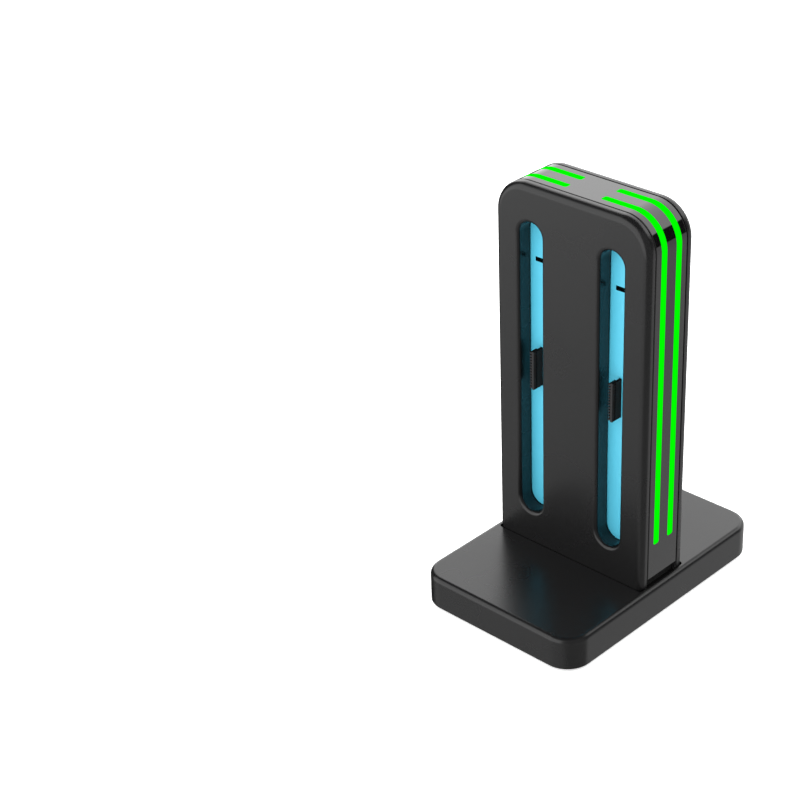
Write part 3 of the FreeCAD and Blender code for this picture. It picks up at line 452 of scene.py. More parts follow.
SOLID_FINISHES: tuple[Finish, ...] = (
    MATT,
    Metal("cut_steel", Slot.STEEL, (0.45, 0.45, 0.46), roughness=0.4),
    Metal("zinc_plating", Slot.ZINC_SCREW, (0.55, 0.55, 0.56), roughness=0.32, stretch=(0.4, 0.4, 1.0)),
    Laminate("circuit_laminate", Slot.CIRCUIT_BOARD, (0.008, 0.05, 0.025), roughness=0.5,
             track=(0.02, 0.08, 0.04)),
    Laminate("flexible_film", Slot.CIRCUIT_FLEX, (0.55, 0.3, 0.08), roughness=0.4, track=(0.7, 0.42, 0.15),
             pitch=900.0),
    Moulding("lamp_lens", Slot.LAMP, (0.9, 0.95, 0.85), roughness=0.2, glow=0.4, tone_swing=0.02),
    Moulding("chip_package", Slot.CHIP_BLACK, (0.02, 0.02, 0.02), roughness=0.5, grain=4000.0),
    Moulding("coil_ferrite", Slot.COIL_GREY, (0.16, 0.16, 0.17), roughness=0.6, grain=3000.0, relief=1e-5),
    Moulding("capacitor_body", Slot.CAPACITOR_TAN, (0.45, 0.33, 0.2), roughness=0.45, grain=5000.0),
)


def slab(start: Sequence[float], end: Sequence[float], axis: int = Z, turn: Round | None = None,
         rounded: Sequence[int] = range(4)) -> Mesh:
    """Box between two opposite corners, with some of its edges along one axis rounded.

    Args:
        start: first corner.
        end: corner opposite to it.
        axis: that the rounded edges run along.
        turn: round of those edges, or None for a sharp box.
        rounded: numbers of the rounded edges, from the first corner's.

    Returns:
        A closed mesh whose faces point outwards.
    """
    across, up = [way for way in (X, Y, Z) if way != axis]
    shape = bmesh.new()
    corners = []
    for one, other in ((start, start), (end, start), (end, end), (start, end)):
        point = Vector(start)
        point[across], point[up] = one[across], other[up]
        corners.append(shape.verts.new(point))
    shape.faces.new(corners)
    if turn:
        bmesh.ops.bevel(shape, geom=[corners[number] for number in rounded], offset=turn.radius,
                        offset_type="OFFSET", affect="VERTICES", segments=turn.pieces, profile=0.5,
                        material=-1, clamp_overlap=False)
        bmesh.ops.remove_doubles(shape, verts=shape.verts, dist=WELD)
    grown = bmesh.ops.extrude_face_region(shape, geom=shape.faces[:])["geom"]
    along = Vector()
    along[axis] = end[axis] - start[axis]
    moved = [item for item in grown if isinstance(item, bmesh.types.BMVert)]
    bmesh.ops.translate(shape, verts=moved, vec=along)
    bmesh.ops.recalc_face_normals(shape, faces=shape.faces)
    return shape


def rod(start: Sequence[float], axis: Vector, radius: float, length: float) -> Mesh:
    """Round bar that starts at a point.

    Args:
        start: middle of its first end.
        axis: unit vector along it.
        radius: of the bar.
        length: along the axis.

    Returns:
        The closed bar.
    """
    shape = bmesh.new()
    turned = axis.to_track_quat("Z", "X").to_matrix().to_4x4()
    place = Matrix.Translation(Vector(start) + axis * length / 2) @ turned
    bmesh.ops.create_cone(shape, cap_ends=True, segments=32, radius1=radius, radius2=radius, depth=length,
                          matrix=place)
    return shape


def combine(shape: Mesh, steps: Sequence[tuple[Combine, Mesh]]) -> Mesh:
    """Cut, add or keep with other solids, one after the other.

    Args:
        shape: solid that is changed.
        steps: how each other solid changes it.

    Returns:
        The resulting solid. The ones given are used up.
    """
    bodies = []
    for solid in (shape, *(tool for _, tool in steps)):
        mesh = bpy.data.meshes.new("scratch")
        solid.to_mesh(mesh)
        solid.free()
        bodies.append(bpy.data.objects.new("scratch", mesh))
        bpy.context.scene.collection.objects.link(bodies[-1])
    for (how, _), tool in zip(steps, bodies[1:]):
        modifier = bodies[0].modifiers.new("combine", "BOOLEAN")
        modifier.operation = how.value
        modifier.object = tool
        modifier.solver = "EXACT"
    result = bmesh.new()
    result.from_object(bodies[0], bpy.context.evaluated_depsgraph_get())
    for body in bodies:
        bpy.data.meshes.remove(body.data)
    bmesh.ops.remove_doubles(result, verts=result.verts, dist=WELD)
    return result


def cut(shape: Mesh, *tools: Mesh) -> Mesh:
    """What is left of a solid after others are cut from it."""
    return combine(shape, [(Combine.CUT, tool) for tool in tools])


def split(shape: Mesh, axis: int, place: float) -> None:
    """Draw a line round a solid where a plane across an axis meets it.

    Args:
        shape: the solid.
        axis: that the plane is square to.
        place: of the plane along it.
    """
    at, normal = Vector(), Vector()
    at[axis], normal[axis] = place, 1.0
    bmesh.ops.bisect_plane(shape, geom=shape.verts[:] + shape.edges[:] + shape.faces[:], plane_co=at,
                           plane_no=normal)


def round_edges(shape: Mesh, chosen: Callable[[Edge], bool], turn: Round) -> None:
    """Round the edges that a test picks.

    Args:
        shape: mesh to change.
        chosen: true for an edge to round.
        turn: the round.
    """
    edges = [edge for edge in shape.edges if chosen(edge)]
    if not edges:
        raise RuntimeError("no edge to round")
    bmesh.ops.bevel(shape, geom=edges, offset=turn.radius, offset_type="OFFSET", affect="EDGES",
                    segments=turn.pieces, profile=0.5, material=-1, clamp_overlap=False, loop_slide=True)
    bmesh.ops.remove_doubles(shape, verts=shape.verts, dist=WELD)


def lies_at(edge: Edge, axis: int, place: float) -> bool:
    """True for an edge whose two ends are at one place along an axis."""
    return all(abs(end.co[axis] - place) < NEAR for end in edge.verts)


def runs_along(edge: Edge, axis: int) -> bool:
    """True for an edge parallel to an axis."""
    return abs((edge.verts[1].co - edge.verts[0].co).normalized()[axis]) > 1 - NEAR


def off_corner(across: float, up: float, half: Sequence[float], corner: float) -> float:
    """Distance of a point outside a rounded outline about the middle, and less than 0 within."""
    return math.hypot(max(abs(across) - half[0] + corner, 0), max(abs(up) - half[1] + corner, 0)) - corner


def off_oval(across: float, up: float, width: float, length: float) -> float:
    """Distance of a point outside an upright round-ended outline about the middle."""
    return math.hypot(across, max(abs(up) - (length - width) / 2, 0)) - width / 2


def make_piece(name: str, shape: Mesh, finish: Finish, node: str, turned: bool = False,
               coats: Sequence[tuple[Finish, Test]] = ()) -> bpy.types.Object:
    """Turn a finished mesh into a piece of the dock.

    Args:
        name: the piece's name.
        shape: its closed mesh, which is used up.
        finish: its main finish.
        node: solid that it replaces.
        turned: true for the copy at the rear, half a turn round.
        coats: other finishes, painted shade among them, each with a test of a face's middle as the piece lies
            at the front.

    Returns:
        The piece's object, at the origin.
    """
    if turned:
        bmesh.ops.transform(shape, matrix=HALF_TURN, verts=shape.verts)
    if shape.calc_volume(signed=True) < 0:
        bmesh.ops.reverse_faces(shape, faces=shape.faces)
    mesh = bpy.data.meshes.new(name)
    shape.to_mesh(mesh)
    shape.free()
    mesh.shade_smooth()
    mesh.set_sharp_from_angle(angle=SHARP_ANGLE)
    mesh.materials.append(finish.material())
    side = -1 if turned else 1
    for number, (coat, chosen) in enumerate(coats, 1):
        mesh.materials.append(coat.material())
        for polygon in mesh.polygons:
            at = polygon.center
            if chosen(Vector((at.x * side, at.y * side, at.z))):
                polygon.material_index = number
    piece = bpy.data.objects.new(name, mesh)
    bpy.context.scene.collection.objects.link(piece)
    even = piece.modifiers.new("even_normals", "WEIGHTED_NORMAL")
    even.keep_sharp = True
    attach(piece, BODY)
    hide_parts(node)
    log.info("%s: %d faces, stands for %s", name, len(mesh.polygons), node)
    return piece


@dataclass
class Base:
    """Casing of the base and its rubber feet."""

    corner: Round = Round(8.5 * MM, 24)
    top_round: Round = Round(1.6 * MM, 8)
    rim_round: Round = Round(0.5 * MM, 4)
    wall: float = 2.2 * MM
    roof: float = 2.4 * MM
    pocket_depth: float = 1.2 * MM
    pocket_gap: float = 0.15 * MM
    pocket_corner: Round = Round(1.2 * MM, 24)
    pocket_lip: Round = Round(0.12 * MM, 2)
    bed_thickness: float = 2.8 * MM
    bed_margin: float = 2.0 * MM
    plate_thickness: float = 2.0 * MM
    boss_radius: float = 2.9 * MM
    pilot_radius: float = 1.1 * MM
    pilot_length: float = 5.5 * MM
    base_screw: tuple[float, float] = (20.0 * MM, 17.5 * MM)
    tower_screw: tuple[float, float] = (12.0 * MM, 5.2 * MM)
    tower_hole: float = 1.5 * MM
    foot_bevel: float = 0.4 * MM
    foot_dish: float = 0.25 * MM
    dish_share: float = 0.55
    ring_share: float = 0.7
    foot_steps: int = 48

    def rounded_block(self, half: Vector, low: float, high: float, turn: Round) -> Mesh:
        """Upright block about the middle with rounded corners, from one height to another."""
        return slab((-half.x, -half.y, low), (half.x, half.y, high), Z, turn)

    def four(self, place: tuple[float, float]) -> list[tuple[float, float]]:
        """The four places at plus and minus an X and a Y."""
        return [(side * place[0], end * place[1]) for side in (-1, 1) for end in (-1, 1)]

    def casing(self) -> bpy.types.Object:
        """Rounded casing with the tower's pocket on top and open below.

        Returns:
            The casing.
        """
        low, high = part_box("base_shell")
        tower_low, tower_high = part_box("front_shell")
        half = Vector((high.x, high.y, 0))
        shape = self.rounded_block(half, low.z, high.z, self.corner)
        for axis in (X, Y):
            split(shape, axis, 0.0)
        for height, turn in ((high.z, self.top_round), (low.z, self.rim_round)):
            round_edges(shape, lambda edge: lies_at(edge, Z, height)
                        and self.follows(edge, half, self.corner.radius), turn)
        seat = Vector((tower_high.x + self.pocket_gap, -tower_low.y + self.pocket_gap, 0))
        floor = high.z - self.pocket_depth
        shape = cut(shape, self.rounded_block(seat, floor, high.z + REACH, self.pocket_corner))
        round_edges(shape, lambda edge: lies_at(edge, Z, high.z)
                    and self.follows(edge, seat, self.pocket_corner.radius), self.pocket_lip)
        shape = cut(shape, self.cavity(half, seat, low.z, high.z))
        shape = cut(shape, *self.holes(floor))
        lip = high.z - self.pocket_lip.radius
        # The pocket's floor and walls below its lip get painted shade.
        return make_piece("base_casing", shape, SATIN, "base_shell", coats=[
            (PAINTED_SHADE, lambda at: floor - NEAR < at.z < lip
             and abs(at.x) < seat.x + NEAR and abs(at.y) < seat.y + NEAR)])

    def follows(self, edge: Edge, half: Vector, corner: float) -> bool:
        """True for an edge that lies on an upright rounded outline about the middle."""
        return all(abs(off_corner(end.co.x, end.co.y, half, corner)) < CLOSE for end in edge.verts)

    def cavity(self, half: Vector, seat: Vector, low: float, high: float) -> Mesh:
        """Space under the roof, less the bed under the tower and the screw bosses.

        Args:
            half: half the base's width and depth.
            seat: half the pocket's width and depth.
            low: height of the rim.
            high: height of the top.

        Returns:
            The closed space, as a solid to cut with.
        """
        inner = half - Vector((self.wall, self.wall, 0))
        turn = Round(self.corner.radius - self.wall, self.corner.pieces)
        space = self.rounded_block(inner, low - REACH, high - self.roof, turn)
        bed_low = high - self.pocket_depth - self.bed_thickness
        bed_half = seat.y - self.pocket_gap + self.bed_margin
        kept = [slab((-half.x, -bed_half, bed_low), (half.x, bed_half, high + REACH))]
        foot = low + self.plate_thickness
        kept += [rod((x, y, foot), UP, self.boss_radius, high - foot) for x, y in self.four(self.base_screw)]
        return cut(space, *kept)

    def holes(self, floor: float) -> list[Mesh]:
        """Bores for the screws that hold the plate and the tower.

        Args:
            floor: height of the pocket's floor.

        Returns:
            The bores, as solids to cut with.
        """
        low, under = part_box("base_plate")[1].z - REACH, floor - self.bed_thickness - REACH
        pilots = [rod((x, y, low), UP, self.pilot_radius, self.pilot_length)
                  for x, y in self.four(self.base_screw)]
        return pilots + [rod((x, y, under), UP, self.tower_hole, self.bed_thickness + 2 * REACH)
                         for x, y in self.four(self.tower_screw)]

    def feet(self) -> None:
        """Four turned rubber feet with a shallow dish under each."""
        for node in [f"foot_{face}_{hand}" for face in FACES for hand in HANDS]:
            low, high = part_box(node)
            centre, radius = (low + high) / 2, (high.x - low.x) / 2
            profile = [(0, low.z + self.foot_dish), (radius * self.dish_share, low.z + self.foot_dish),
                       (radius * self.ring_share, low.z), (radius - self.foot_bevel, low.z),
                       (radius, low.z + self.foot_bevel), (radius, high.z), (0, high.z)]
            shape = bmesh.new()
            line = [shape.verts.new((centre.x + out, centre.y, up)) for out, up in profile]
            edges = [shape.edges.new(pair) for pair in zip(line, line[1:])]
            bmesh.ops.spin(shape, geom=line + edges, cent=centre, axis=UP, angle=2 * math.pi,
                           steps=self.foot_steps, use_merge=True)
            bmesh.ops.remove_doubles(shape, verts=shape.verts, dist=WELD)
            bmesh.ops.recalc_face_normals(shape, faces=shape.faces)
            make_piece(f"rubber_{node}", shape, RUBBER, node)


@dataclass
class Tower:
    """Two half shells, the gloss band between them and the lines of light."""

    corner: Round = Round(10.9 * MM, 24)
    edge_round: Round = Round(2.2 * MM, 10)
    wall: float = 2.0 * MM
    band_thickness: float = 1.8 * MM
    groove: float = 0.35 * MM
    step_wall: float = 1.4 * MM
    floor_wall: float = 2.0 * MM
    lip: Round = Round(0.12 * MM, 2)
    slot_width: float = 9.0 * MM
    slot_length: float = 100.4 * MM
    slot_round: Round = Round(1.2 * MM, 6)
    slot_end_pieces: int = 20
    slot_skirt: float = 1.2 * MM
    seam: tuple[float, float] = (0.3 * MM, 0.5 * MM)
    band_edge: Round = Round(0.25 * MM, 3)
    line_spacing: float = 6.8 * MM
    line_width: float = 2.5 * MM
    line_round: Round = Round(0.7 * MM, 8)
    line_gap: float = 0.04 * MM
    line_tip: float = 6.5 * MM
    guide_lap: float = 1.2 * MM
    guide_gap: float = 0.1 * MM
    inlet_height: float = 9.6 * MM
    inlet_width: float = 3.7 * MM
    inlet_end_pieces: int = 16
    inlet_lip: Round = Round(0.2 * MM, 3)
    post_radius: float = 3.0 * MM
    post_inset: float = 8.0 * MM
    boss_radius: float = 2.9 * MM
    boss_height: float = 7.5 * MM
    boss_place: tuple[float, float] = (12.0 * MM, -5.2 * MM)
    half_width: float = field(init=False)
    half_depth: float = field(init=False)
    half_band: float = field(init=False)
    step: float = field(init=False)
    foot: float = field(init=False)
    band_foot: float = field(init=False)
    top: float = field(init=False)
    inlet_z: float = field(init=False)
    liner: float = field(init=False)
    slots: list[tuple[float, float]] = field(init=False)

    def __post_init__(self) -> None:
        """Take the main places from the frame."""
        low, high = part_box("front_shell")
        band_low, band_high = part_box("trim_band")
        self.half_width, self.half_depth = high.x, -low.y
        self.foot, self.top = low.z, high.z
        self.band_foot, self.half_band = band_low.z, band_high.y
        self.step = -(self.half_band + self.groove)
        self.inlet_z = sum(corner.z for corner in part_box("inlet_socket")) / 2
        floors = [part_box(f"slot_liner_front_{hand}") for hand in HANDS]
        self.liner = floors[0][0].y
        self.slots = [((low.x + high.x) / 2, (low.z + high.z) / 2) for low, high in floors]

    def arch(self, inset: float, foot: float, front: float, back: float) -> Mesh:
        """Block with the tower's outline, inset all round but for its foot.

        Args:
            inset: distance inside the outline.
            foot: height of its underside.
            front: lowest Y.
            back: highest Y.

        Returns:
            The closed block.
        """
        side, turn = self.half_width - inset, Round(self.corner.radius - inset, self.corner.pieces)
        return slab((-side, front, foot), (side, back, self.top - inset), Y, turn, (2, 3))

    def slot_blocks(self, margin: float, front: float, back: float) -> list[Mesh]:
        """Round-ended blocks over both slots of the front face.

        Args:
            margin: added all round.
            front: lowest Y.
            back: highest Y.

        Returns:
            The closed blocks.
        """
        half, reach = self.slot_width / 2 + margin, self.slot_length / 2 + margin
        turn = Round(half - WELD, self.slot_end_pieces)
        return [slab((x - half, front, z - reach), (x + half, back, z + reach), Y, turn)
                for x, z in self.slots]

    def skirts(self) -> list[Mesh]:
        """Solid walls round both slots, from the face to the coloured floors."""
        return self.slot_blocks(self.slot_skirt, -self.half_depth, self.liner)

    def shell(self, name: str, node: str, turned: bool) -> bpy.types.Object:
        """One half shell, made at the front.

        Args:
            name: of the piece.
            node: solid that it stands for.
            turned: true to turn it to the rear.

        Returns:
            The half shell.
        """
        face, step = -self.half_depth, self.step
        shape = self.arch(0, self.foot, face, 0)
        for x, _ in self.slots:
            split(shape, X, x)
        shape = cut(shape, *self.slot_blocks(0, face - REACH, self.liner + self.lip.radius))
        round_edges(shape, lambda edge: lies_at(edge, Y, face) and self.is_rim(edge), self.edge_round)
        round_edges(shape, lambda edge: lies_at(edge, Y, face) and self.is_mouth(edge), self.slot_round)
        shape = cut(shape, self.rebate())
        round_edges(shape, lambda edge: lies_at(edge, Y, step) and self.is_rim(edge), self.lip)
        shape = cut(shape, self.room())
        shape = combine(shape, self.fittings(-1 if turned else 1))
        deep, tall = self.seam
        shape = cut(shape, *self.slot_blocks(deep, self.liner - tall, self.liner))
        split(shape, Z, self.band_foot)
        # Painted shade on the band's rebate above its foot and in the seam round each slot's floor.
        return make_piece(name, shape, SATIN, node, turned, [
            (SLOT_WALL, self.on_slot_wall),
            (PAINTED_SHADE, lambda at: self.in_rebate(at) and at.z > self.band_foot),
            (MATT, lambda at: self.in_rebate(at) and at.z < self.band_foot),
            (PAINTED_SHADE, lambda at: at.y > self.liner - tall - NEAR and self.in_seam(at))])

    def in_rebate(self, at: Vector) -> bool:
        """True for a point of the step and the floor that the band lies on."""
        return at.y > self.step - NEAR and self.inset(at) < self.band_thickness + NEAR

    def off_slots(self, place: Vector) -> list[float]:
        """Distance of a point outside the outline of each slot of the front face."""
        return [off_oval(place.x - x, place.z - z, self.slot_width, self.slot_length) for x, z in self.slots]

    def in_seam(self, at: Vector) -> bool:
        """True for a point of the fine groove between a slot's wall and its coloured floor."""
        return any(NEAR < out < self.seam[0] + NEAR for out in self.off_slots(at))

    def on_slot_wall(self, at: Vector) -> bool:
        """Tell the walls of the slots from the rest of a half shell.

        Args:
            at: middle of a face, as it lies at the front.

        Returns:
            True if it is between a slot's floor and its rounded mouth.
        """
        lip = self.lip.radius
        within = -self.liner - lip < -at.y < self.half_depth - self.slot_round.radius + lip
        return within and min(abs(out) for out in self.off_slots(at)) < lip

    def is_mouth(self, edge: Edge) -> bool:
        """True for an edge of a slot's outline."""
        pairs = zip(*(self.off_slots(end.co) for end in edge.verts))
        return any(max(abs(out) for out in pair) < CLOSE for pair in pairs)

    def is_rim(self, edge: Edge) -> bool:
        """Tell the edges of the tower's outline from the rest.

        Args:
            edge: any edge of a half shell or the band.

        Returns:
            True if it lies on the outline, but for its foot.
        """
        half = (self.half_width, self.top)
        corner = self.corner.radius
        return all(abs(off_corner(end.co.x, end.co.z, half, corner)) < CLOSE for end in edge.verts)

    def by_inlet(self, edge: Edge) -> bool:
        """True for an edge of the inlet's outline."""
        size = (self.inlet_width, self.inlet_height)
        return all(abs(off_oval(end.co.y, end.co.z - self.inlet_z, *size)) < CLOSE for end in edge.verts)

    def inset(self, at: Vector) -> float:
        """Depth of a point within the tower's outline as it is seen from the front.

        Args:
            at: the point.

        Returns:
            Its distance inside the outline.
        """
        corner = self.corner.radius
        across, up = abs(at.x) - (self.half_width - corner), at.z - (self.top - corner)
        return corner - (math.hypot(across, up) if min(across, up) > 0 else max(across, up))

    def rebate(self) -> Mesh:
        """Space that the band and its grooves take out of the tower's outline."""
        inner = self.arch(self.band_thickness, self.foot - 2 * REACH, self.step - REACH, 2 * REACH)
        return cut(self.arch(-REACH, self.foot - REACH, self.step, REACH), inner)

    def room(self) -> Mesh:
        """Space inside a half shell, less the skirts round its slots.

        Returns:
            The closed space, as a solid to cut with.
        """
        inset = self.band_thickness + self.step_wall
        return cut(self.arch(inset, self.foot + self.floor_wall, self.wall - self.half_depth, REACH),
                   *self.skirts())

    def fittings(self, plain_side: int) -> list[tuple[Combine, Mesh]]:
        """Posts, bosses, light windows and the inlet's notch of one half shell.

        Args:
            plain_side: 1 if the plain end is at +X, or -1.

        Returns:
            Steps for combine.
        """
        steps = []
        board_low, board_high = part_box("main_board")
        start = self.wall / 2 - self.half_depth
        for z in (board_low.z + self.post_inset, board_high.z - self.post_inset):
            post = rod((0, start, z), Vector((0, 1, 0)), self.post_radius, board_low.y - start)
            steps.append((Combine.ADD, post))
        x, y = self.boss_place
        lap = self.floor_wall / 2
        for side in (-1, 1):
            boss = rod((side * x, y, self.foot + lap), UP, self.boss_radius, self.boss_height + lap)
            steps.append((Combine.ADD, boss))
        across, beyond = self.line_tip - self.guide_lap - self.guide_gap, self.half_width + REACH
        for node, end in ENDS:
            side = end * plain_side
            guide_low, guide_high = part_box(node)
            near, far = sorted((side * across, side * beyond))
            depth, foot = guide_high.y + self.guide_gap, guide_low.z - self.guide_gap
            window = slab((near, -depth, foot), (far, REACH, self.top + REACH))
            steps.append((Combine.CUT, cut(window, *self.skirts())))
        inner = self.half_width - self.band_thickness - self.step_wall - REACH
        near, far = sorted((-plain_side * inner, -plain_side * beyond))
        half = self.inlet_height / 2
        notch = slab((near, -self.inlet_width / 2, self.inlet_z - half), (far, REACH, self.inlet_z + half))
        return steps + [(Combine.CUT, notch)]

    def line_block(self, node: str, side: int, row: int, gap: float) -> Mesh:
        """Space of one line of light, from its foot up an end and over the top to its tip.

        Args:
            node: light guide that the line belongs to.
            side: 1 for the +X end, -1 for the other.
            row: 1 or -1 for the two lines of an end.
            gap: added all round.

        Returns:
            The space as a solid.
        """
        foot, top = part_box(node)[0].z + self.guide_lap - gap, self.top + REACH
        middle, half = row * self.line_spacing / 2, self.line_width / 2 + gap
        near, far = side * (self.line_tip - gap), side * (self.half_width + REACH)
        upright = slab((near, middle - half, foot), (far, middle + half, top), Z, self.line_round, (0, 3))
        near, far = side * (self.line_tip - REACH), side * (self.half_width + 3 * REACH)
        lying = slab((near, middle - half, foot), (far, middle + half, top), X, self.line_round, (0, 1))
        return combine(upright, [(Combine.KEEP, lying)])

    def band(self) -> bpy.types.Object:
        """Gloss band with bevelled rims, slots for the light and the inlet's mouth.

        Returns:
            The band.
        """
        half, clear = self.half_band, self.half_band + REACH
        shape = self.arch(0, self.band_foot, -half, half)
        round_edges(shape, lambda edge: (lies_at(edge, Y, half) or lies_at(edge, Y, -half))
                    and self.is_rim(edge), self.band_edge)
        inner = self.arch(self.band_thickness, self.band_foot - REACH, -clear, clear)
        lines = [self.line_block(node, side, row, self.line_gap) for node, side in ENDS for row in (-1, 1)]
        shape = cut(shape, inner, *lines)
        shape = cut(shape, self.inlet_mouth())
        round_edges(shape, lambda edge: lies_at(edge, X, -self.half_width) and self.by_inlet(edge),
                    self.inlet_lip)
        return make_piece("gloss_trim_band", shape, GLOSS, "trim_band")

    def inlet_mouth(self) -> Mesh:
        """Round-ended opening through the band at the port end.

        Returns:
            The opening, as a solid to cut with.
        """
        half, reach = self.inlet_width / 2, self.inlet_height / 2
        start = -self.half_width - REACH
        return slab((start, -half, self.inlet_z - reach),
                    (start + self.band_thickness + 2 * REACH, half, self.inlet_z + reach), X,
                    Round(half - WELD, self.inlet_end_pieces))

    def guides(self) -> None:
        """Clear guides whose lines fill the band's slots, each with its web behind."""
        half, inset = self.half_band, self.band_thickness
        for node, side in ENDS:
            low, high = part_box(node)
            under = low.z - REACH
            hollow = self.arch(inset + self.step_wall, under, -half, half)
            near, far = sorted((side * (self.line_tip - self.guide_lap), side * self.half_width))
            kept = slab((near, -half, under), (far, half, self.top))
            web = self.arch(inset, low.z, low.y, high.y)
            shape = combine(web, [(Combine.CUT, hollow), (Combine.KEEP, kept)])
            for row in (-1, 1):
                core = self.arch(inset + self.lip.radius, under, -half - REACH, half + REACH)
                space = self.line_block(node, side, row, 0)
                line = self.arch(0, low.z, -half, half)
                line = combine(line, [(Combine.CUT, core), (Combine.KEEP, space)])
                shape = combine(shape, [(Combine.ADD, line)])
            # The web behind the lines gets painted shade, so only the lines glow.
            make_piece(f"lit_{node}", shape, GREEN, node, coats=[
                (PAINTED_SHADE, lambda at: self.inset(at) > inset - self.lip.radius)])


@dataclass
class SlotFittings:
    """Coloured floor of one slot, with the contact blade that stands in it."""

    face: str
    hand: str
    end_pieces: int = 20
    window_gap: float = 0.1 * MM
    slit: tuple[float, float] = (5.2 * MM, 1.5 * MM)
    slit_lift: float = 35.9 * MM
    slit_round: Round = Round(0.2 * MM, 4)
    blade_width: float = 0.8 * MM
    blade_length: float = 13.2 * MM
    blade_place: tuple[float, float] = (-0.35 * MM, -0.1 * MM)
    tip_bevel: Round = Round(0.1 * MM, 3)
    block_edge: Round = Round(0.15 * MM, 2)
    contact_count: int = 13
    contact_pitch: float = 0.99 * MM
    contact_width: float = 0.58 * MM
    contact_tip: Round = Round(0.1 * MM, 1)
    end_proud: float = 0.06 * MM
    end_setback: float = 0.85 * MM
    end_reach: float = 0.6 * MM

    def build(self) -> None:
        """Make the floor, the blade and its contacts."""
        turned = self.face == "rear"
        self.liner(turned)
        self.blade(turned)
        self.contacts(turned)

    def solid(self, kind: str, turned: bool) -> tuple[str, Vector, Vector]:
        """A solid of the slot, as it lies at the front.

        Args:
            kind: first words of its name.
            turned: true for a slot at the rear.

        Returns:
            Its name, and its lowest and highest corners.
        """
        node = f"{kind}_{self.face}_{self.hand}"
        low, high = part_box(node)
        if turned:
            low, high = Vector((-high.x, -high.y, low.z)), Vector((-low.x, -low.y, high.z))
        return node, low, high

    def liner(self, turned: bool) -> bpy.types.Object:
        """Coloured floor.

        Args:
            turned: true for a slot at the rear.

        Returns:
            The floor.
        """
        node, low, high = self.solid("slot_liner", turned)
        middle = (low + high) / 2
        shape = slab(low, high, Y, Round((high.x - low.x) / 2 - WELD, self.end_pieces))
        front, back = low.y - REACH, high.y + REACH
        wide, long = self.blade_width / 2 + self.window_gap, self.blade_length / 2 + self.window_gap
        x, z = middle.x + self.blade_place[0], middle.z + self.blade_place[1]
        window = slab((x - wide, front, z - long), (x + wide, back, z + long))
        across, up = self.slit[0] / 2, self.slit[1] / 2
        x, z = middle.x, middle.z + self.slit_lift
        slit = slab((x - across, front, z - up), (x + across, back, z + up), Y, self.slit_round)
        # The floor's faint glow is painted light from its finish; the inner faces of the window and the slit
        # get painted shade.
        return make_piece(f"coloured_{node}", cut(shape, window, slit), CYAN, node, turned, [
            (PAINTED_SHADE, lambda at: low.y + NEAR < at.y < high.y - NEAR)])

    def blade(self, turned: bool) -> bpy.types.Object:
        """Moulded block with the blade that stands up through the floor.

        Args:
            turned: true for a slot at the rear.

        Returns:
            The block.
        """
        node, low, high = self.solid("contact_block", turned)
        middle = (low + high) / 2
        shoulder = self.solid("slot_liner", turned)[2].y
        shape = slab((low.x, shoulder, low.z), high)
        round_edges(shape, lambda edge: not lies_at(edge, Y, high.y), self.block_edge)
        wide, long = self.blade_width / 2, self.blade_length / 2
        blade = slab((middle.x - wide, low.y, middle.z - long),
                     (middle.x + wide, high.y - REACH, middle.z + long))
        round_edges(blade, lambda edge: lies_at(edge, Y, low.y), self.tip_bevel)
        round_edges(blade, lambda edge: runs_along(edge, Y), self.block_edge)
        edge, tip = long - self.block_edge.radius + NEAR, low.y + self.tip_bevel.radius
        shape = combine(shape, [(Combine.ADD, blade)])
        # Painted shade on the top and bottom faces and their rounds, behind the tip, to draw dark lines along
        # the blade's edges.
        return make_piece(f"bladed_{node}", shape, BLADE, node, turned, [
            (FLANK, lambda at: at.y > tip - NEAR),
            (PAINTED_SHADE, lambda at: at.y > tip and abs(at.z - middle.z) > edge)])

    def contacts(self, turned: bool) -> bpy.types.Object:
        """Rows of spring contacts on the two sides of the blade.

        Args:
            turned: true for a slot at the rear.

        Returns:
            Both rows as one piece.
        """
        node, low, high = self.solid("contact_pins", turned)
        middle, pad = (low + high) / 2, high.x - self.end_proud
        ends = (low.y + self.end_setback, low.y + self.end_setback + self.end_reach)
        shape = bmesh.new()
        for across, along in (((low.x, pad - self.blade_width), (low.y, high.y)), ((pad, high.x), ends)):
            for number in range(self.contact_count):
                z = middle.z + (number - (self.contact_count - 1) / 2) * self.contact_pitch
                place = Matrix.Translation((sum(across) / 2, sum(along) / 2, z))
                size = Matrix.Diagonal((across[1] - across[0], along[1] - along[0], self.contact_width, 1.0))
                bmesh.ops.create_cube(shape, size=1.0, matrix=place @ size)
        round_edges(shape, lambda edge: lies_at(edge, X, low.x) and lies_at(edge, Y, low.y), self.contact_tip)
        tip = low.y + self.contact_tip.radius
        # Painted shade on every face but the fronts, and on the small pads, so the gaps between teeth read
        # dark.
        return make_piece(f"row_{node}", shape, CONTACT, node, turned, [
            (PAINTED_SHADE, lambda at: at.x > pad - NEAR or at.y > tip)])


@dataclass
class Inlet:
    """Charging inlet's drawn shell."""

    wall: float = 0.3 * MM
    rim: Round = Round(0.1 * MM, 2)
    end_pieces: int = 12

    def build(self) -> bpy.types.Object:
        """Drawn shell, open towards the port end and closed behind.

        Returns:
            The shell.
        """
        low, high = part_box("inlet_socket")
        shape = self.oval(low, high)
        round_edges(shape, lambda edge: lies_at(edge, X, low.x), self.rim)
        wall = self.wall
        hollow = self.oval(low + Vector((-wall, wall, wall)), high - Vector((wall, wall, wall)))
        return make_piece("drawn_inlet_shell", cut(shape, hollow), NICKEL, "inlet_socket")

    def oval(self, low: Vector, high: Vector) -> Mesh:
        """Upright round-ended block that runs along X."""
        return slab(low, high, X, Round((high.y - low.y) / 2 - WELD, self.end_pieces))


@dataclass(frozen=True)
class Panel:
    """Soft panel round the dock, as it shows in its surfaces. Angles in degrees, across from +X and up."""

    across: tuple[float, float]
    up: tuple[float, float]
    level: float
    soft_across: float
    soft_up: float


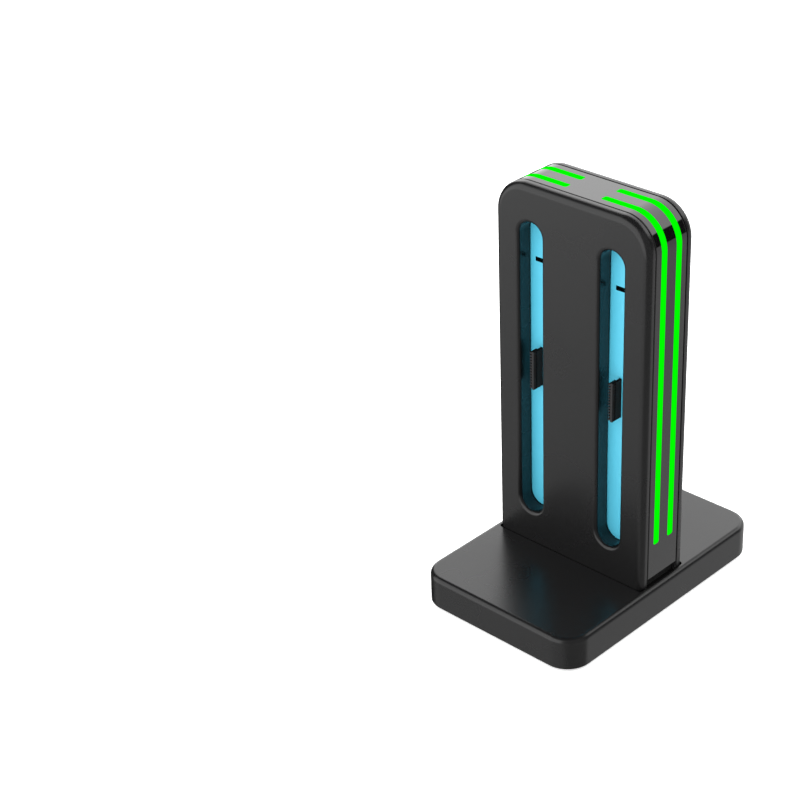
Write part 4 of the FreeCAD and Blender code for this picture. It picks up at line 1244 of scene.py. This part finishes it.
@dataclass
class Studio:
    """Pale floor, soft light overhead, panels round the dock and the camera."""

    floor_radius: float = 2.0
    floor_tone: float = 0.8
    floor_glow: float = 0.6
    light_height: float = 1.0
    light_size: float = 2.4
    light_radiance: float = 2.5
    backdrop: float = 1.05
    panels: tuple[Panel, ...] = (
        Panel((-160, -68), (-24, 46), 1.8, 10.0, 8.0),
        Panel((45, 161), (22, 46), 2.35, 10.0, 3.0),
        Panel((98, 152), (-4, 26), 2.3, 10.0, 4.0),
        Panel((57, 100), (-20, 24), 1.1, 8.0, 4.0),
        Panel((-164, -48), (-90, -24), 0.56, 40.0, 4.0),
        Panel((33, 110), (-90, -6), 0.68, 16.0, 2.0),
        Panel((-62, 26), (-90, 52), 0.33, 14.0, 8.0),
    )
    dim: float = 0.03
    yaw: float = math.radians(45.241)
    pitch: float = math.radians(29.422)
    roll: float = math.radians(-2.45)
    lens: float = 90.88
    sensor: float = 36.0
    eye: tuple[float, float, float] = (0.34064, -0.42012, 0.37063)

    def build(self) -> None:
        """Set up everything round the dock."""
        self.floor()
        self.light()
        self.world()
        self.camera()
        bpy.context.scene.view_settings.view_transform = "Standard"

    def add(self, name: str, data: Any) -> bpy.types.Object:
        """Put a new object of the studio in the scene.

        Args:
            name: of the object.
            data: its mesh, light or camera.

        Returns:
            The object.
        """
        made = bpy.data.objects.new(name, data)
        bpy.context.scene.collection.objects.link(made)
        return made

    def floor(self) -> None:
        """Round pale floor, lit from within so that it meets the white backdrop without an edge."""
        shape = bmesh.new()
        bmesh.ops.create_circle(shape, cap_ends=True, segments=96, radius=self.floor_radius)
        mesh = bpy.data.meshes.new("floor")
        shape.to_mesh(mesh)
        shape.free()
        material = bpy.data.materials.new("pale_floor")
        material.use_nodes = True
        Wiring(material.node_tree).feed(material.node_tree.nodes["Principled BSDF"], {
            "Base Color": (self.floor_tone, self.floor_tone, self.floor_tone, 1.0), "Roughness": 1.0,
            "Specular IOR Level": 0.0, "Emission Color": WHITE, "Emission Strength": self.floor_glow})
        mesh.materials.append(material)
        made = self.add("floor", mesh)
        made.visible_glossy = False

    def light(self) -> None:
        """Wide soft light that hangs over the dock."""
        data = bpy.data.lights.new("overhead", "AREA")
        data.shape = "DISK"
        data.size = self.light_size
        data.energy = self.light_radiance * (math.pi * self.light_size / 2) ** 2
        lamp = self.add("overhead", data)
        lamp.location = (0, 0, self.light_height)
        lamp.visible_glossy = False

    def span(self, wiring: Wiring, angle: Socket, limits: tuple[float, float], soft: float) -> Socket:
        """Mask that is 1 where an angle lies between two limits, with a soft step at each.

        Args:
            wiring: the world's tree.
            angle: socket of the angle, in degrees.
            limits: lower and upper limit.
            soft: width of each step.

        Returns:
            Socket of the mask.
        """
        steps = []
        for limit, low, high in ((limits[0], 0.0, 1.0), (limits[1], 1.0, 0.0)):
            inputs = {0: angle, 1: limit - soft / 2, 2: limit + soft / 2, 3: low, 4: high}
            step = wiring.add("ShaderNodeMapRange", inputs, interpolation_type="SMOOTHSTEP")
            steps.append(step.outputs[0])
        return wiring.math("MULTIPLY", *steps)

    def world(self) -> None:
        """White to the camera. To the dock, dim surroundings with bright panels."""
        world = bpy.data.worlds.new("studio")
        bpy.context.scene.world = world
        world.use_nodes = True
        wiring = Wiring(world.node_tree)
        direction = wiring.add("ShaderNodeTexCoord").outputs["Generated"]
        east, north, rise = wiring.add("ShaderNodeSeparateXYZ", {0: direction}).outputs
        up = wiring.math("DEGREES", wiring.math("ARCSINE", rise))
        total = self.dim
        for panel in self.panels:
            middle = math.radians(sum(panel.across) / 2)
            cosine, sine = math.cos(middle), math.sin(middle)
            ahead = wiring.math("ADD", wiring.math("MULTIPLY", east, cosine),
                                wiring.math("MULTIPLY", north, sine))
            aside = wiring.math("SUBTRACT", wiring.math("MULTIPLY", north, cosine),
                                wiring.math("MULTIPLY", east, sine))
            turned = wiring.math("DEGREES", wiring.math("ARCTAN2", aside, ahead))
            half = (panel.across[1] - panel.across[0]) / 2
            mask = wiring.math("MULTIPLY", self.span(wiring, turned, (-half, half), panel.soft_across),
                               self.span(wiring, up, panel.up, panel.soft_up))
            total = wiring.math("MAXIMUM", total, wiring.math("MULTIPLY", mask, panel.level))
        seen = wiring.add("ShaderNodeLightPath").outputs["Is Camera Ray"]
        strength = wiring.add("ShaderNodeMix", {0: seen, 2: total, 3: self.backdrop})
        wiring.feed(world.node_tree.nodes["Background"], {"Color": WHITE, "Strength": strength.outputs[0]})

    def camera(self) -> None:
        """Camera at the photograph's place and angle."""
        data = bpy.data.cameras.new("camera")
        data.lens = self.lens
        data.sensor_width = self.sensor
        camera = self.add("camera", data)
        turn = (Matrix.Rotation(self.yaw, 4, "Z") @ Matrix.Rotation(math.pi / 2 - self.pitch, 4, "X")
                @ Matrix.Rotation(self.roll, 4, "Z"))
        camera.matrix_world = Matrix.Translation(self.eye) @ turn
        bpy.context.scene.camera = camera


def dress_solids(frame: dict[str, Any]) -> None:
    """Give every solid that still shows the finish of its slot.
    """
    by_slot = {finish.slot.value: finish for finish in SOLID_FINISHES}
    for row in frame["record"]["subparts"]:
        solid = frame["nodes"][row["node"]]
        if solid.hide_render:
            continue
        solid.data.materials.clear()
        solid.data.materials.append(by_slot[row["material_slot"]].material())
        log.info("%s: finish %s", row["node"], row["material_slot"])


def corners(box: Sequence[Any]) -> list[list[float]]:
    """A box as plain lists of numbers."""
    return [[float(part) for part in corner] for corner in box]


def main() -> None:
    """Build the dock round the frame, dress it and set up the studio."""
    logging.basicConfig(level=logging.INFO, format="%(message)s")
    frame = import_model()
    base = Base()
    base.casing()
    base.feet()
    tower = Tower()
    tower.shell("front_casing", "front_shell", False)
    tower.shell("rear_casing", "rear_shell", True)
    tower.band()
    tower.guides()
    for face in FACES:
        for hand in HANDS:
            SlotFittings(face, hand).build()
    Inlet().build()
    dress_solids(frame)
    Studio().build()


if __name__ == "__main__":
    main()
